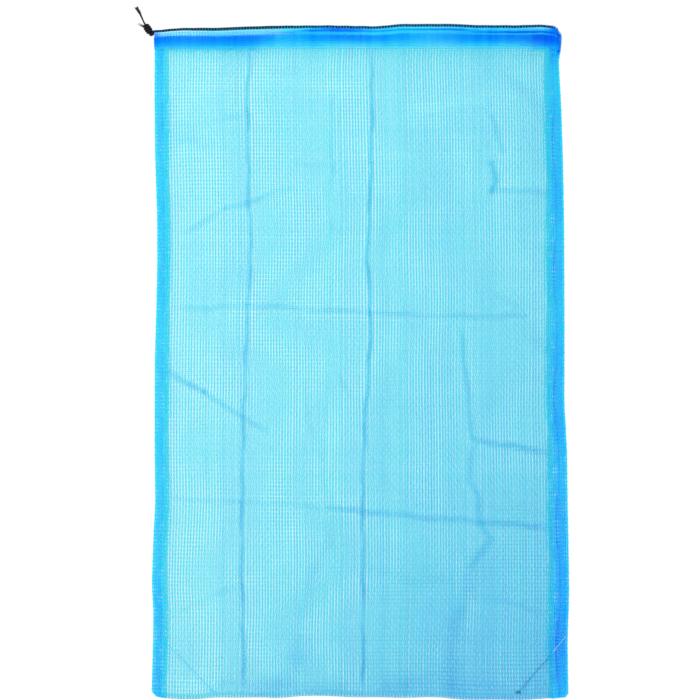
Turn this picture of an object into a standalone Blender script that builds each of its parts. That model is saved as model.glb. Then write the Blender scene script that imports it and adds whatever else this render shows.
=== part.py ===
"""Drawstring mesh laundry bag, lying flat and empty on its back sheet.

X runs across the bag, Y from the folded bottom to the mouth, Z up from the floor.
The origin is on the floor under the middle of the bag. Sizes are in metres.
"""

import math

import bmesh
import bpy
from mathutils import Vector

# Overall size of the bag, laid flat.
BAG_WIDTH = 0.500
BAG_LENGTH = 0.815

# Mesh sheet and the gap left between neighbouring pieces.
SHEET_THICKNESS = 0.0008
NEIGHBOUR_GAP = 0.0003

# Drawstring and the hem that it runs in.
CORD_DIAMETER = 0.0025
CORD_CLEARANCE = 0.0003
HEM_WALL = 0.0006
CHANNEL_DEPTH = 0.0130
HEM_DEPTH = 0.0290
MOUTH_GAP = 0.0050
TURN_DROP = 0.0045

# Side seams, where both sheets are brought together and overlocked.
LEFT_SEAM_WIDTH = 0.0145
RIGHT_SEAM_WIDTH = 0.0186
SEAM_EDGE_THICKNESS = 0.0024
SEAM_WAVE = 0.0012
CORNER_RADIUS = 0.0090
RIGHT_EDGE_FLARE = 0.0030
WEFT_END_LENGTH = 0.0030
WEFT_PITCH = 0.0046
WEFT_END_WIDTH = 0.0014
WEFT_ENDS_FROM = 0.0650
WEFT_ENDS_TO = 0.3100

# Front sheet: how far in from its edges it reaches its full height.
SHOULDER = 0.0600

# Sewing.
THREAD_DIAMETER = 0.0007
THREAD_LIFT = 0.0006
CORNER_STITCH_UP = 0.0730
CORNER_STITCH_ACROSS = 0.0590

# Knot that joins the drawstring's ends, and the two cut ends.
KNOT_LENGTH = 0.0180
KNOT_WIDTH = 0.0092
KNOT_THICKNESS = 0.0082
KNOT_TILT = math.radians(124.0)
KNOT_OUT = 0.0073
KNOT_DOWN = 0.0043
LONG_TAIL_RUN = 0.0218
SHORT_TAIL_RUN = 0.0120
SHORT_TAIL_DIAMETER = 0.0020
LONG_TAIL_HEADING = math.radians(115.0)
SHORT_TAIL_HEADING = math.radians(148.0)

# What the sizes above give.
HEM_THICKNESS = CORD_DIAMETER + 2 * (CORD_CLEARANCE + HEM_WALL)
EDGE_HEIGHT = 2 * HEM_THICKNESS + NEIGHBOUR_GAP
FULL_HEIGHT = 2 * HEM_THICKNESS + MOUTH_GAP
FOLD_RADIUS = EDGE_HEIGHT / 2
LEFT_EDGE = -BAG_WIDTH / 2
RIGHT_EDGE = BAG_WIDTH / 2 - WEFT_END_LENGTH
TOP = BAG_LENGTH / 2
BOTTOM = -BAG_LENGTH / 2
PANEL_LEFT = LEFT_EDGE + LEFT_SEAM_WIDTH
PANEL_RIGHT = RIGHT_EDGE - RIGHT_SEAM_WIDTH
PANEL_TOP = TOP - HEM_DEPTH - NEIGHBOUR_GAP
PANEL_BOTTOM = BOTTOM + FOLD_RADIUS + NEIGHBOUR_GAP
HEM_RIGHT = RIGHT_EDGE - RIGHT_EDGE_FLARE - FOLD_RADIUS


def clear_scene():
    """Remove every object that the new file starts with."""
    for item in list(bpy.data.objects):
        bpy.data.objects.remove(item, do_unlink=True)


def make_material(name, colour, roughness, sheen=0.0):
    """A plain Principled finish."""
    finish = bpy.data.materials.new(name)
    finish.use_nodes = True
    shader = finish.node_tree.nodes["Principled BSDF"]
    shader.inputs["Base Color"].default_value = (*colour, 1.0)
    shader.inputs["Roughness"].default_value = roughness
    shader.inputs["Sheen Weight"].default_value = sheen
    finish.diffuse_color = (*colour, 1.0)
    return finish


def mesh_blue(name):
    """Bright blue plastic yarn of the bag's sheets."""
    return make_material(name, (0.10, 0.58, 0.86), 0.45)


def seam_blue(name):
    """Deeper blue where several layers of the sheet lie together."""
    return make_material(name, (0.02, 0.33, 0.86), 0.45)


def pale_thread(name):
    """Pale sewing thread."""
    return make_material(name, (0.55, 0.85, 0.95), 0.6)


def black_cord(name):
    """Black braided cord."""
    return make_material(name, (0.012, 0.014, 0.018), 0.55, 0.2)


def add_object(name, points, faces, finish, smooth=False):
    """A mesh object with outward normals and one finish."""
    shape = bpy.data.meshes.new(name)
    shape.from_pydata([tuple(p) for p in points], [], faces)
    work = bmesh.new()
    work.from_mesh(shape)
    bmesh.ops.recalc_face_normals(work, faces=work.faces)
    work.to_mesh(shape)
    work.free()
    for face in shape.polygons:
        face.use_smooth = smooth
    shape.materials.append(finish)
    item = bpy.data.objects.new(name, shape)
    bpy.context.scene.collection.objects.link(item)
    return item


def add_cord(name, route, diameter, finish):
    """A round cord with closed ends along a route of points."""
    shape = bpy.data.curves.new(name, "CURVE")
    shape.dimensions = "3D"
    shape.bevel_depth = diameter / 2
    shape.bevel_resolution = 2
    shape.use_fill_caps = True
    line = shape.splines.new("POLY")
    line.points.add(len(route) - 1)
    for place, point in zip(line.points, route):
        place.co = (*point, 1.0)
    line.use_smooth = True
    shape.materials.append(finish)
    item = bpy.data.objects.new(name, shape)
    bpy.context.scene.collection.objects.link(item)
    return item


def ease(value):
    """Smooth rise from 0 to 1 as the value goes from 0 to 1."""
    t = min(1.0, max(0.0, value))
    return t * t * (3 - 2 * t)


def steps(start, end, count):
    """Evenly spaced values from start to end."""
    return [start + (end - start) * i / count for i in range(count + 1)]


def front_height(x, y):
    """Height above the floor of the front sheet's outer face."""
    side = min(x - PANEL_LEFT, PANEL_RIGHT - x) / SHOULDER
    foot = (y - PANEL_BOTTOM) / SHOULDER
    return EDGE_HEIGHT + (FULL_HEIGHT - EDGE_HEIGHT) * ease(side) * ease(foot)


def left_edge(y):
    """Outer edge of the left seam, gently wavy and rounded at the bottom corner."""
    wave = SEAM_WAVE * (1 - math.cos(5 * math.pi * (TOP - y) / BAG_LENGTH)) / 2
    return LEFT_EDGE + wave + corner_inset(y)


def right_edge(y):
    """Outer edge of the right seam, which flares a little towards the bottom."""
    flare = RIGHT_EDGE_FLARE * (1 - ease((TOP - y) / BAG_LENGTH * 1.6))
    return RIGHT_EDGE - flare - corner_inset(y)


def corner_inset(y):
    """How far the bottom corner's rounding pulls the edge in at this height."""
    short = max(0.0, BOTTOM + CORNER_RADIUS - y)
    return CORNER_RADIUS - math.sqrt(max(0.0, CORNER_RADIUS**2 - short**2))


def seam_height(inward, outer_x, inner_x):
    """Height of a side seam at a distance in from its outer edge."""
    share = inward / abs(inner_x - outer_x)
    return SEAM_EDGE_THICKNESS + (EDGE_HEIGHT - SEAM_EDGE_THICKNESS) * share**1.5


def surface_height(x, y):
    """Height of the bag's upper side, on the front sheet or on a side seam."""
    if x < PANEL_LEFT:
        outer = left_edge(y)
        return seam_height(max(0.0, x - outer), outer, PANEL_LEFT)
    if x > PANEL_RIGHT:
        outer = right_edge(y)
        return seam_height(max(0.0, outer - x), outer, PANEL_RIGHT)
    return front_height(x, y)


def shoulder_steps(start, end, fine, coarse):
    """Values from start to end, closer together within a shoulder of each end."""
    first = steps(start, start + SHOULDER, fine)
    middle = steps(start + SHOULDER, end - SHOULDER, coarse)
    last = steps(end - SHOULDER, end, fine)
    return first + middle[1:-1] + last


def sheet_slab(name, across, along, top, bottom, finish):
    """A thin closed sheet over a grid, between two height functions."""
    wide, long = len(across), len(along)
    points = [(x, y, top(x, y)) for y in along for x in across]
    points += [(x, y, bottom(x, y)) for y in along for x in across]
    under = wide * long
    faces = []
    for j in range(long - 1):
        for i in range(wide - 1):
            a = j * wide + i
            b, c, d = a + 1, a + wide + 1, a + wide
            faces.append((a, b, c, d))
            faces.append((a + under, d + under, c + under, b + under))
    rim = [i for i in range(wide)]
    rim += [j * wide + wide - 1 for j in range(1, long)]
    rim += [(long - 1) * wide + i for i in range(wide - 2, -1, -1)]
    rim += [j * wide for j in range(long - 2, 0, -1)]
    for a, b in zip(rim, rim[1:] + rim[:1]):
        faces.append((a, a + under, b + under, b))
    return add_object(name, points, faces, finish, smooth=True)


def build_front_panel():
    """Front sheet, from the bottom fold to the hem."""
    across = shoulder_steps(
        PANEL_LEFT + NEIGHBOUR_GAP, PANEL_RIGHT - NEIGHBOUR_GAP, 6, 6
    )
    along = steps(PANEL_BOTTOM, PANEL_BOTTOM + SHOULDER, 6)
    along += steps(PANEL_BOTTOM + SHOULDER, PANEL_TOP, 8)[1:]
    return sheet_slab(
        "front_panel",
        across,
        along,
        front_height,
        lambda x, y: front_height(x, y) - SHEET_THICKNESS,
        mesh_blue("front_mesh"),
    )


def build_back_panel():
    """Back sheet, flat on the floor."""
    across = steps(PANEL_LEFT + NEIGHBOUR_GAP, PANEL_RIGHT - NEIGHBOUR_GAP, 8)
    along = steps(PANEL_BOTTOM, PANEL_TOP, 10)
    return sheet_slab(
        "back_panel",
        across,
        along,
        lambda x, y: SHEET_THICKNESS,
        lambda x, y: 0.0,
        mesh_blue("back_mesh"),
    )


def sweep_section(name, sections, finish, smooth=False):
    """A closed bar through equal rings of points, with flat ends."""
    ring = len(sections[0])
    points = [p for section in sections for p in section]
    faces = []
    for s in range(len(sections) - 1):
        for i in range(ring):
            a, b = s * ring + i, s * ring + (i + 1) % ring
            faces.append((a, b, b + ring, a + ring))
    faces.append(tuple(range(ring)))
    last = (len(sections) - 1) * ring
    faces.append(tuple(range(last + ring - 1, last - 1, -1)))
    return add_object(name, points, faces, finish, smooth)


def build_bottom_fold():
    """Half-round fold where the one sheet turns from the back to the front."""
    bends = steps(math.pi / 2, 3 * math.pi / 2, 12)
    inner = FOLD_RADIUS - SHEET_THICKNESS

    def fold_ring(x):
        outside = [(FOLD_RADIUS, a) for a in bends]
        inside = [(inner, a) for a in reversed(bends)]
        return [
            (
                x,
                BOTTOM + FOLD_RADIUS + r * math.cos(a),
                FOLD_RADIUS + r * math.sin(a),
            )
            for r, a in outside + inside
        ]

    ends = steps(PANEL_LEFT + NEIGHBOUR_GAP, PANEL_RIGHT - NEIGHBOUR_GAP, 8)
    return sweep_section(
        "bottom_fold", [fold_ring(x) for x in ends], mesh_blue("fold_mesh")
    )


def seam_section(y, outer, inner):
    """Cross-section of a side seam: thin at the outer edge, full height inside."""
    shares = (0.0, 0.33, 0.67, 1.0)
    over = [
        (outer + (inner - outer) * s, seam_height(abs(inner - outer) * s, outer, inner))
        for s in shares
    ]
    ring = [(outer, 0.0), (inner, 0.0)] + [over[i] for i in (3, 2, 1, 0)]
    return [(x, y, z) for x, z in ring]


def seam_stations():
    """Places along a side seam, closer together round the bottom corner."""
    corner = [
        BOTTOM + CORNER_RADIUS * (1 - math.cos(a)) for a in steps(0, math.pi / 2, 6)
    ]
    return corner[1:] + steps(BOTTOM + CORNER_RADIUS, PANEL_TOP, 20)[1:]


def build_left_seam():
    """Left side seam."""
    rings = [seam_section(y, left_edge(y), PANEL_LEFT) for y in seam_stations()]
    return sweep_section("left_side_seam", rings, seam_blue("left_seam_mesh"))


def build_right_seam():
    """Right side seam, with a deeper allowance than the left one."""
    rings = [seam_section(y, right_edge(y), PANEL_RIGHT) for y in seam_stations()]
    return sweep_section("right_side_seam", rings, seam_blue("right_seam_mesh"))


def build_weft_ends():
    """Loose ends of the crosswise yarns along the lower part of the right edge."""
    low, high = SEAM_EDGE_THICKNESS * 0.3, SEAM_EDGE_THICKNESS * 0.7
    count = int((WEFT_ENDS_TO - WEFT_ENDS_FROM) / WEFT_PITCH)
    inner, outer = [], []
    for k in range(count):
        y = -WEFT_ENDS_FROM - k * WEFT_PITCH
        root = max(right_edge(y + WEFT_PITCH), right_edge(y - WEFT_PITCH))
        near = root + NEIGHBOUR_GAP
        spine = near + NEIGHBOUR_GAP * 2
        tip = spine + (BAG_WIDTH / 2 - spine) * (1 - 0.35 * (k * 7 % 5) / 4)
        half = WEFT_END_WIDTH / 2
        inner.append((near, y))
        outer += [(spine, y + half), (tip, y + half / 2)]
        outer += [(tip, y - half / 2), (spine, y - half)]
    rim = outer + inner[::-1]
    size = len(rim)
    points = [(x, y, low) for x, y in rim] + [(x, y, high) for x, y in rim]
    faces = [(i, (i + 1) % size, (i + 1) % size + size, i + size) for i in range(size)]
    for base in (0, size):
        for k in range(count):
            teeth = [base + 4 * k + i for i in range(4)]
            root = base + size - 1 - k
            faces.append((root, *teeth))
            if k + 1 < count:
                faces.append((root, teeth[3], teeth[3] + 1, root - 1))
    return add_object("right_weft_ends", points, faces, mesh_blue("weft_end_yarn"))


def hem_outline():
    """The hem's section as (down from the mouth, in from the outer face) pairs."""
    middle = HEM_THICKNESS / 2
    allowance = 2 * SHEET_THICKNESS
    bends = steps(math.pi / 2, -math.pi / 2, 6)
    round_top = [
        (middle - middle * math.cos(a), middle + middle * math.sin(a)) for a in bends
    ]
    bore = middle - HEM_WALL
    slope = CHANNEL_DEPTH - HEM_THICKNESS
    outer = [(HEM_DEPTH, 0.0), (HEM_DEPTH, allowance)]
    outer += [(CHANNEL_DEPTH + 2 * HEM_WALL, allowance), (slope, HEM_THICKNESS)]
    outer += round_top
    round_bore = [
        (middle - bore * math.cos(a), middle + bore * math.sin(a)) for a in bends
    ]
    hole = [(CHANNEL_DEPTH, HEM_WALL), (slope, HEM_THICKNESS - HEM_WALL)]
    hole += round_bore
    return outer, hole


def hollow_bar(name, stations, outer_ring, hole_ring, place, finish):
    """A bar with a channel through it, made of an outer and an inner ring."""
    points, faces = [], []
    big, small = len(outer_ring), len(hole_ring)
    for x in stations:
        points += [place(x, u, v) for u, v in outer_ring]
        points += [place(x, u, v) for u, v in hole_ring]
    ring = big + small
    for s in range(len(stations) - 1):
        for i in range(big):
            a, b = s * ring + i, s * ring + (i + 1) % big
            faces.append((a, b, b + ring, a + ring))
        for i in range(small):
            a, b = s * ring + big + i, s * ring + big + (i + 1) % small
            faces.append((a, a + ring, b + ring, b))
    for start in (0, (len(stations) - 1) * ring):
        pairs = list(range(1, small))
        for i in pairs:
            a, b = start + 3 + i - 1, start + 3 + i
            c, d = start + big + i, start + big + i + 1
            if i + 1 < small:
                faces.append((a, b, d, c))
        faces.append((start, start + 1, start + 2, start + big))
        faces.append((start + 2, start + 3, start + big + 1, start + big))
        faces.append((start + big - 1, start, start + big, start + ring - 1))
    return add_object(name, points, faces, finish)


def build_front_hem():
    """Front hem: the sheet turned in over the drawstring and sewn down."""
    outer, hole = hem_outline()
    ends = shoulder_steps(PANEL_LEFT, PANEL_RIGHT, 6, 4)
    return hollow_bar(
        "front_hem",
        [LEFT_EDGE] + ends + [HEM_RIGHT],
        outer,
        hole,
        lambda x, u, v: (x, TOP - u, front_height(x, TOP) - v),
        seam_blue("front_hem_mesh"),
    )


def build_back_hem():
    """Back hem, lying on the floor."""
    outer, hole = hem_outline()
    return hollow_bar(
        "back_hem",
        steps(LEFT_EDGE, HEM_RIGHT, 12),
        outer,
        hole,
        lambda x, u, v: (x, TOP - u, v),
        seam_blue("back_hem_mesh"),
    )


def build_hem_turn():
    """The hem's turn round the right edge of the mouth, over the cord's loop."""
    start = HEM_RIGHT + NEIGHBOUR_GAP
    turns = steps(-math.pi / 2, math.pi / 2, 12)
    low = TOP - HEM_DEPTH
    count = len(turns)

    def arc(radius, y):
        return [
            (start + radius * math.cos(a), y, FOLD_RADIUS + radius * math.sin(a))
            for a in turns
        ]

    inner = FOLD_RADIUS - HEM_WALL
    points = arc(FOLD_RADIUS, TOP) + arc(FOLD_RADIUS, low)
    points += arc(inner, TOP - HEM_WALL) + arc(inner, low)
    out_top, out_low, in_top, in_low = (count * k for k in range(4))
    faces = []
    for i in range(count - 1):
        faces.append((out_top + i, out_top + i + 1, out_low + i + 1, out_low + i))
        faces.append((in_top + i, in_low + i, in_low + i + 1, in_top + i + 1))
        faces.append((out_low + i, out_low + i + 1, in_low + i + 1, in_low + i))
    faces.append(tuple(out_top + i for i in range(count)))
    faces.append(tuple(in_top + i for i in reversed(range(count))))
    end = count - 1
    faces.append((out_low, out_top, in_top, in_low))
    faces.append((out_top, out_top + end, in_top + end, in_top))
    faces.append((out_top + end, out_low + end, in_low + end, in_top + end))
    return add_object("right_hem_turn", points, faces, seam_blue("hem_turn_mesh"))


def thread_rings(route):
    """Square rings of a thread's thickness along a route."""
    half = THREAD_DIAMETER / 2
    rings = []
    for i, point in enumerate(route):
        ahead = Vector(route[min(i + 1, len(route) - 1)])
        behind = Vector(route[max(i - 1, 0)])
        along = (ahead - behind).normalized()
        side = along.cross(Vector((0, 0, 1))).normalized() * half
        up = side.cross(along).normalized() * half
        here = Vector(point)
        rings.append([here + side + up, here - side + up, here - side - up, here + side - up])
    return rings


def add_thread(name, route, finish_name):
    """One row of stitches, as a thin thread on the surface."""
    return sweep_section(name, thread_rings(route), pale_thread(finish_name))


def build_hem_stitching():
    """The rows that hold the front and back hems down."""
    row = TOP - CHANNEL_DEPTH - 3 * HEM_WALL
    lift = THREAD_LIFT + THREAD_DIAMETER / 2
    ends = shoulder_steps(PANEL_LEFT, PANEL_RIGHT, 6, 4)
    ends = [LEFT_EDGE + SEAM_EDGE_THICKNESS] + ends + [HEM_RIGHT - HEM_WALL]
    front = [(x, row, front_height(x, TOP) + lift) for x in ends]
    back = [(x, row, 2 * SHEET_THICKNESS + lift) for x in ends]
    add_thread("front_hem_stitching", front, "front_hem_thread")
    add_thread("back_hem_stitching", back, "back_hem_thread")


def build_seam_stitching():
    """The rows along the side seams."""
    lift = THREAD_LIFT + THREAD_DIAMETER / 2
    inset = LEFT_SEAM_WIDTH / 3
    span = steps(BOTTOM + CORNER_RADIUS, PANEL_TOP - NEIGHBOUR_GAP, 24)
    for name, x in (("left", PANEL_LEFT - inset), ("right", PANEL_RIGHT + inset)):
        route = [(x, y, surface_height(x, y) + lift) for y in span]
        add_thread(name + "_seam_stitching", route, name + "_seam_thread")


def build_corner_stitching():
    """The slanting rows across the two bottom corners."""
    lift = THREAD_LIFT + 1.5 * THREAD_DIAMETER + NEIGHBOUR_GAP
    clear = SEAM_EDGE_THICKNESS
    for name, edge, inward in (("left", left_edge, 1), ("right", right_edge, -1)):
        up = BOTTOM + CORNER_STITCH_UP
        side = edge(up) + inward * clear
        low = BOTTOM + FOLD_RADIUS + clear
        foot = edge(up) + inward * CORNER_STITCH_ACROSS
        route = []
        for share in steps(0.0, 1.0, 24):
            x = side + (foot - side) * share
            y = up + (low - up) * share
            route.append((x, y, surface_height(x, y) + lift))
        add_thread(name + "_corner_stitching", route, name + "_corner_thread")


def drawstring_route():
    """The cord from the left exit through the front hem, round, and back."""
    middle = HEM_THICKNESS / 2
    near = TOP - middle
    reach = BAG_WIDTH * 0.025
    ends = [x for x in shoulder_steps(PANEL_LEFT, PANEL_RIGHT, 6, 4)]
    runs = [LEFT_EDGE - CORD_DIAMETER / 2] + ends[:-1]
    front = [(x, near, front_height(x, TOP) - middle) for x in runs]
    back = [(x, near, middle) for x in runs]
    bend = steps(0.0, 1.0, 6)
    start = HEM_RIGHT - reach
    sink = [(start + reach * s, near - TURN_DROP * ease(s)) for s in bend]
    down = [(x, y, EDGE_HEIGHT - middle) for x, y in sink]
    rise = [(x, y, middle) for x, y in reversed(sink)]
    radius = FOLD_RADIUS - middle
    turn = [
        (
            HEM_RIGHT + radius * math.sin(a),
            near - TURN_DROP,
            FOLD_RADIUS + radius * math.cos(a),
        )
        for a in steps(0.0, math.pi, 8)[1:-1]
    ]
    front = [p for p in front if p[0] < start - CORD_DIAMETER]
    back = [p for p in back if p[0] < start - CORD_DIAMETER]
    return front + down + turn + rise + back[::-1]


def build_drawstring():
    """The drawstring inside the hem, in one piece."""
    return add_cord(
        "drawstring", drawstring_route(), CORD_DIAMETER, black_cord("drawstring_cord")
    )


def knot_centre():
    """Middle of the knot, just outside the mouth's left corner."""
    return Vector((LEFT_EDGE - KNOT_OUT, TOP - KNOT_DOWN, FOLD_RADIUS))


def build_knot():
    """The knot that joins the cord's two ends, with the wraps in relief."""
    along = Vector((math.cos(KNOT_TILT), math.sin(KNOT_TILT), 0))
    across = Vector((-along.y, along.x, 0))
    centre = knot_centre()
    rings, sides = 16, 20
    points = [centre - along * KNOT_LENGTH / 2]
    for i in range(1, rings):
        t = math.pi * i / rings
        for k in range(sides):
            turn = 2 * math.pi * k / sides
            wrap = 1 - 0.14 * abs(math.sin(3.0 * t + turn))
            wide = KNOT_WIDTH / 2 * math.sin(t) ** 0.8 * wrap * math.cos(turn)
            thick = KNOT_THICKNESS / 2 * math.sin(t) ** 0.8 * wrap * math.sin(turn)
            place = centre - along * KNOT_LENGTH / 2 * math.cos(t) + across * wide
            points.append(place + Vector((0, 0, thick)))
    points.append(centre + along * KNOT_LENGTH / 2)
    last = len(points) - 1
    faces = []
    for k in range(sides):
        after = (k + 1) % sides
        faces.append((0, 1 + after, 1 + k))
        base = 1 + (rings - 2) * sides
        faces.append((base + k, base + after, last))
        for i in range(rings - 2):
            a, b = 1 + i * sides + k, 1 + i * sides + after
            faces.append((a, b, b + sides, a + sides))
    return add_object(
        "drawstring_knot", points, faces, black_cord("knot_cord"), smooth=True
    )


def tail_route(turn, start_gap, run, bow):
    """A cut end of the cord, leaving the knot at an angle and sinking to the floor."""
    tip = knot_centre() + Vector(
        (math.cos(KNOT_TILT), math.sin(KNOT_TILT), 0)
    ) * (KNOT_LENGTH / 2 + start_gap)
    heading = Vector((math.cos(turn), math.sin(turn), 0))
    aside = Vector((-heading.y, heading.x, 0))
    route = []
    for s in steps(0.0, 1.0, 6):
        sag = (FOLD_RADIUS - CORD_DIAMETER) * ease(s)
        place = tip + heading * run * s + aside * bow * math.sin(math.pi * s)
        route.append(place - Vector((0, 0, sag)))
    return route


def build_tails():
    """The long and the short cut end of the drawstring, beyond the knot."""
    long_route = tail_route(
        LONG_TAIL_HEADING, CORD_DIAMETER, LONG_TAIL_RUN, CORD_DIAMETER / 4
    )
    short_route = tail_route(
        SHORT_TAIL_HEADING, CORD_DIAMETER, SHORT_TAIL_RUN, -CORD_DIAMETER / 4
    )
    shift = Vector((-CORD_DIAMETER, -CORD_DIAMETER, 0))
    short_route = [p + shift for p in short_route]
    add_cord("long_tail", long_route, CORD_DIAMETER, black_cord("long_tail_cord"))
    add_cord(
        "short_tail", short_route, SHORT_TAIL_DIAMETER, black_cord("short_tail_cord")
    )


def main():
    """Build every piece of the bag."""
    clear_scene()
    build_front_panel()
    build_back_panel()
    build_bottom_fold()
    build_left_seam()
    build_right_seam()
    build_weft_ends()
    build_front_hem()
    build_back_hem()
    build_hem_turn()
    build_hem_stitching()
    build_seam_stitching()
    build_corner_stitching()
    build_drawstring()
    build_knot()
    build_tails()


main()
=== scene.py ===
"""Looks of the drawstring mesh laundry bag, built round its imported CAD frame.

The bag lies flat: X runs across it, Y from the folded bottom to the mouth, Z up.
Every woven piece is made of its own tapes: twisted pairs run from the bottom to the
mouth, and single tapes cross them from seam to seam. All sizes are in metres.
"""

from __future__ import annotations

import logging
import math
from collections.abc import Sequence
from dataclasses import dataclass, field
from enum import Enum

import bpy
import numpy as np
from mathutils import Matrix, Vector


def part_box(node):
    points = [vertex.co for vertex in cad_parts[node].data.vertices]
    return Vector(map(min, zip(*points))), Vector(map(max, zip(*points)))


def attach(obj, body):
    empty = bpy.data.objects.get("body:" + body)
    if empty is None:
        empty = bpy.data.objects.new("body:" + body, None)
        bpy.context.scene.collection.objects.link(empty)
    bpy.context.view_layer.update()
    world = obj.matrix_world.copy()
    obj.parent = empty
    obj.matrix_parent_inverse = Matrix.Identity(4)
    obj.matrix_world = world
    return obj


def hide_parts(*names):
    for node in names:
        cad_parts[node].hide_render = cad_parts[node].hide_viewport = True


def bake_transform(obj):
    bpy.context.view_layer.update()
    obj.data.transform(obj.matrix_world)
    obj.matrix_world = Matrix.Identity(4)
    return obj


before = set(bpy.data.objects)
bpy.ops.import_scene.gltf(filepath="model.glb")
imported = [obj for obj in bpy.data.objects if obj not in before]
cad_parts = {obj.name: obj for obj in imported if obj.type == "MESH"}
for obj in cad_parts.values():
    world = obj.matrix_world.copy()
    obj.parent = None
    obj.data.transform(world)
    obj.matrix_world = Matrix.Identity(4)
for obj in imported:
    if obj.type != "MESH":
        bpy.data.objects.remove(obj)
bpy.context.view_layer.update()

Array = np.ndarray
Piece = bpy.types.Object
Socket = bpy.types.NodeSocket

LOG = logging.getLogger("laundry_bag")
CORD = "pull_cord"
MILLI = 0.001
FLOOR_GAP = 0.0001
CORNER_THREAD = 0.00055
LOWER_THREAD = 0.0008
FEWEST_POINTS = 6
CORNER_ROWS = {
    "left": ((-0.2335, -0.3420), (-0.1780, -0.3985)),
    "right": ((0.2495, -0.3325), (0.1908, -0.3995)),
}
UP = np.array([0.0, 0.0, 1.0])


class Side(Enum):
    """Which half of the folded sheet a piece belongs to."""

    FRONT = "front"
    BACK = "back"


class Tape(Enum):
    """The three sets of tapes in the mesh."""

    CROSSING = "crossing_warp"
    STANDING = "standing_warp"
    WEFT = "weft"


def ease(value: Array | float) -> Array:
    """Smooth rise from 0 to 1 as the value goes from 0 to 1."""
    t = np.clip(value, 0.0, 1.0)
    return t * t * (3.0 - 2.0 * t)


def unit(vectors: Array) -> Array:
    """The same vectors, each one metre long."""
    return vectors / np.maximum(np.linalg.norm(vectors, axis=-1, keepdims=True), 1e-12)


@dataclass(frozen=True)
class BagFrame:
    """Places of the bag's parts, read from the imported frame.

    Attributes:
        left: Outer edge of the left seam.
        right: Outer edge of the right seam, without the loose yarn ends.
        inner_left: Where the left seam meets the panels.
        inner_right: Where the right seam meets the panels.
        bottom: The folded bottom.
        top: The mouth.
        hem_foot: Lower edge of the turned hem.
        edge_height: Height of the front sheet at its edges.
        full_height: Height of the front sheet in its middle.
        hem_right: Right end of the straight hems.
    """

    left: float
    right: float
    inner_left: float
    inner_right: float
    bottom: float
    top: float
    hem_foot: float
    edge_height: float
    full_height: float
    hem_right: float

    @classmethod
    def read(cls) -> BagFrame:
        """Read the places from the CAD nodes' boxes.

        Returns:
            The frame's places.
        """
        left_low, left_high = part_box("left_side_seam")
        right_low, right_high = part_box("right_side_seam")
        hem_low, hem_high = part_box("front_hem")
        fold_low, fold_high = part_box("bottom_fold")
        return cls(
            left=left_low.x,
            right=right_high.x,
            inner_left=left_high.x,
            inner_right=right_low.x,
            bottom=fold_low.y,
            top=hem_high.y,
            hem_foot=hem_low.y,
            edge_height=fold_high.z,
            full_height=hem_high.z,
            hem_right=hem_high.x,
        )

    @property
    def fold_radius(self) -> float:
        """Outer radius of the bottom fold."""
        return self.edge_height / 2


@dataclass(frozen=True)
class EdgeLine:
    """An edge's offset from its straight line, at places along it.

    Attributes:
        places: Where the offsets are given, rising.
        offsets: The offsets there.
    """

    places: tuple[float, ...]
    offsets: tuple[float, ...]

    ROUNDING = 0.007

    @classmethod
    def in_mm(cls, places: tuple[float, ...], offsets: tuple[float, ...]) -> EdgeLine:
        """A line whose offsets are given in millimetres."""
        return cls(places, tuple(MILLI * v for v in offsets))

    def at(self, value: Array | float) -> Array:
        """The offset at a place, rounded between the given ones."""
        fine = np.asarray(value, float)
        shifts = (-self.ROUNDING, 0.0, self.ROUNDING)
        steps = [np.interp(fine + s, self.places, self.offsets) for s in shifts]
        return (steps[0] + 2 * steps[1] + steps[2]) / 4


# The left side's outline.
LEFT_WANDER = EdgeLine.in_mm(
    (-0.40, -0.34, -0.30, -0.27, -0.21, -0.17, -0.10, 0.0, 0.06, 0.12, 0.18, 0.25, 0.33, 0.38),
    (-3.4, -1.8, -1.4, -3.2, -1.2, 1.0, 0.2, 0.4, 2.2, 3.4, 3.2, 0.8, 0.0, 0.4),
)
# The right side's outline.
RIGHT_WANDER = EdgeLine.in_mm(
    (-0.40, -0.34, -0.28, -0.21, -0.16, -0.11, -0.05, 0.04, 0.16, 0.25, 0.31, 0.365, 0.385),
    (5.2, 4.3, 6.2, 5.2, 4.2, 3.6, 0.4, 0.6, 0.2, -1.4, -3.4, -6.6, -4.0),
)
# The mouth's outline.
MOUTH_WANDER = EdgeLine.in_mm(
    (-0.25, -0.22, -0.172, -0.148, -0.10, -0.04, 0.022, 0.046, 0.11, 0.143, 0.19, 0.216, 0.247),
    (-4.6, -1.8, -2.4, -1.2, 0.3, 0.8, -0.6, 2.2, 2.5, 0.8, 0.8, 2.3, 0.2),
)
# Colour depth of the hem's turned allowance.
ALLOWANCE_DEPTH = EdgeLine(
    (
        -0.25, -0.23, -0.20, -0.16, -0.125, -0.10, -0.08, -0.045, -0.02, 0.01, 0.05, 0.084, 0.12,
        0.145, 0.20, 0.217, 0.247,
    ),
    (
        0.88, 0.74, 0.76, 0.78, 0.80, 0.46, 0.44, 0.64, 0.76, 0.60, 0.52, 0.42, 0.60, 0.76, 0.74,
        1.02, 1.05,
    ),
)
# How far below the stitches the allowance's colour fades.
ALLOWANCE_FOOT = EdgeLine.in_mm(
    (-0.25, -0.14, -0.11, -0.02, 0.06, 0.10, 0.145, 0.19, 0.215, 0.247),
    (23.0, 22.0, 15.0, 11.5, 13.0, 13.5, 14.0, 13.0, 20.0, 26.0),
)
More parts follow.
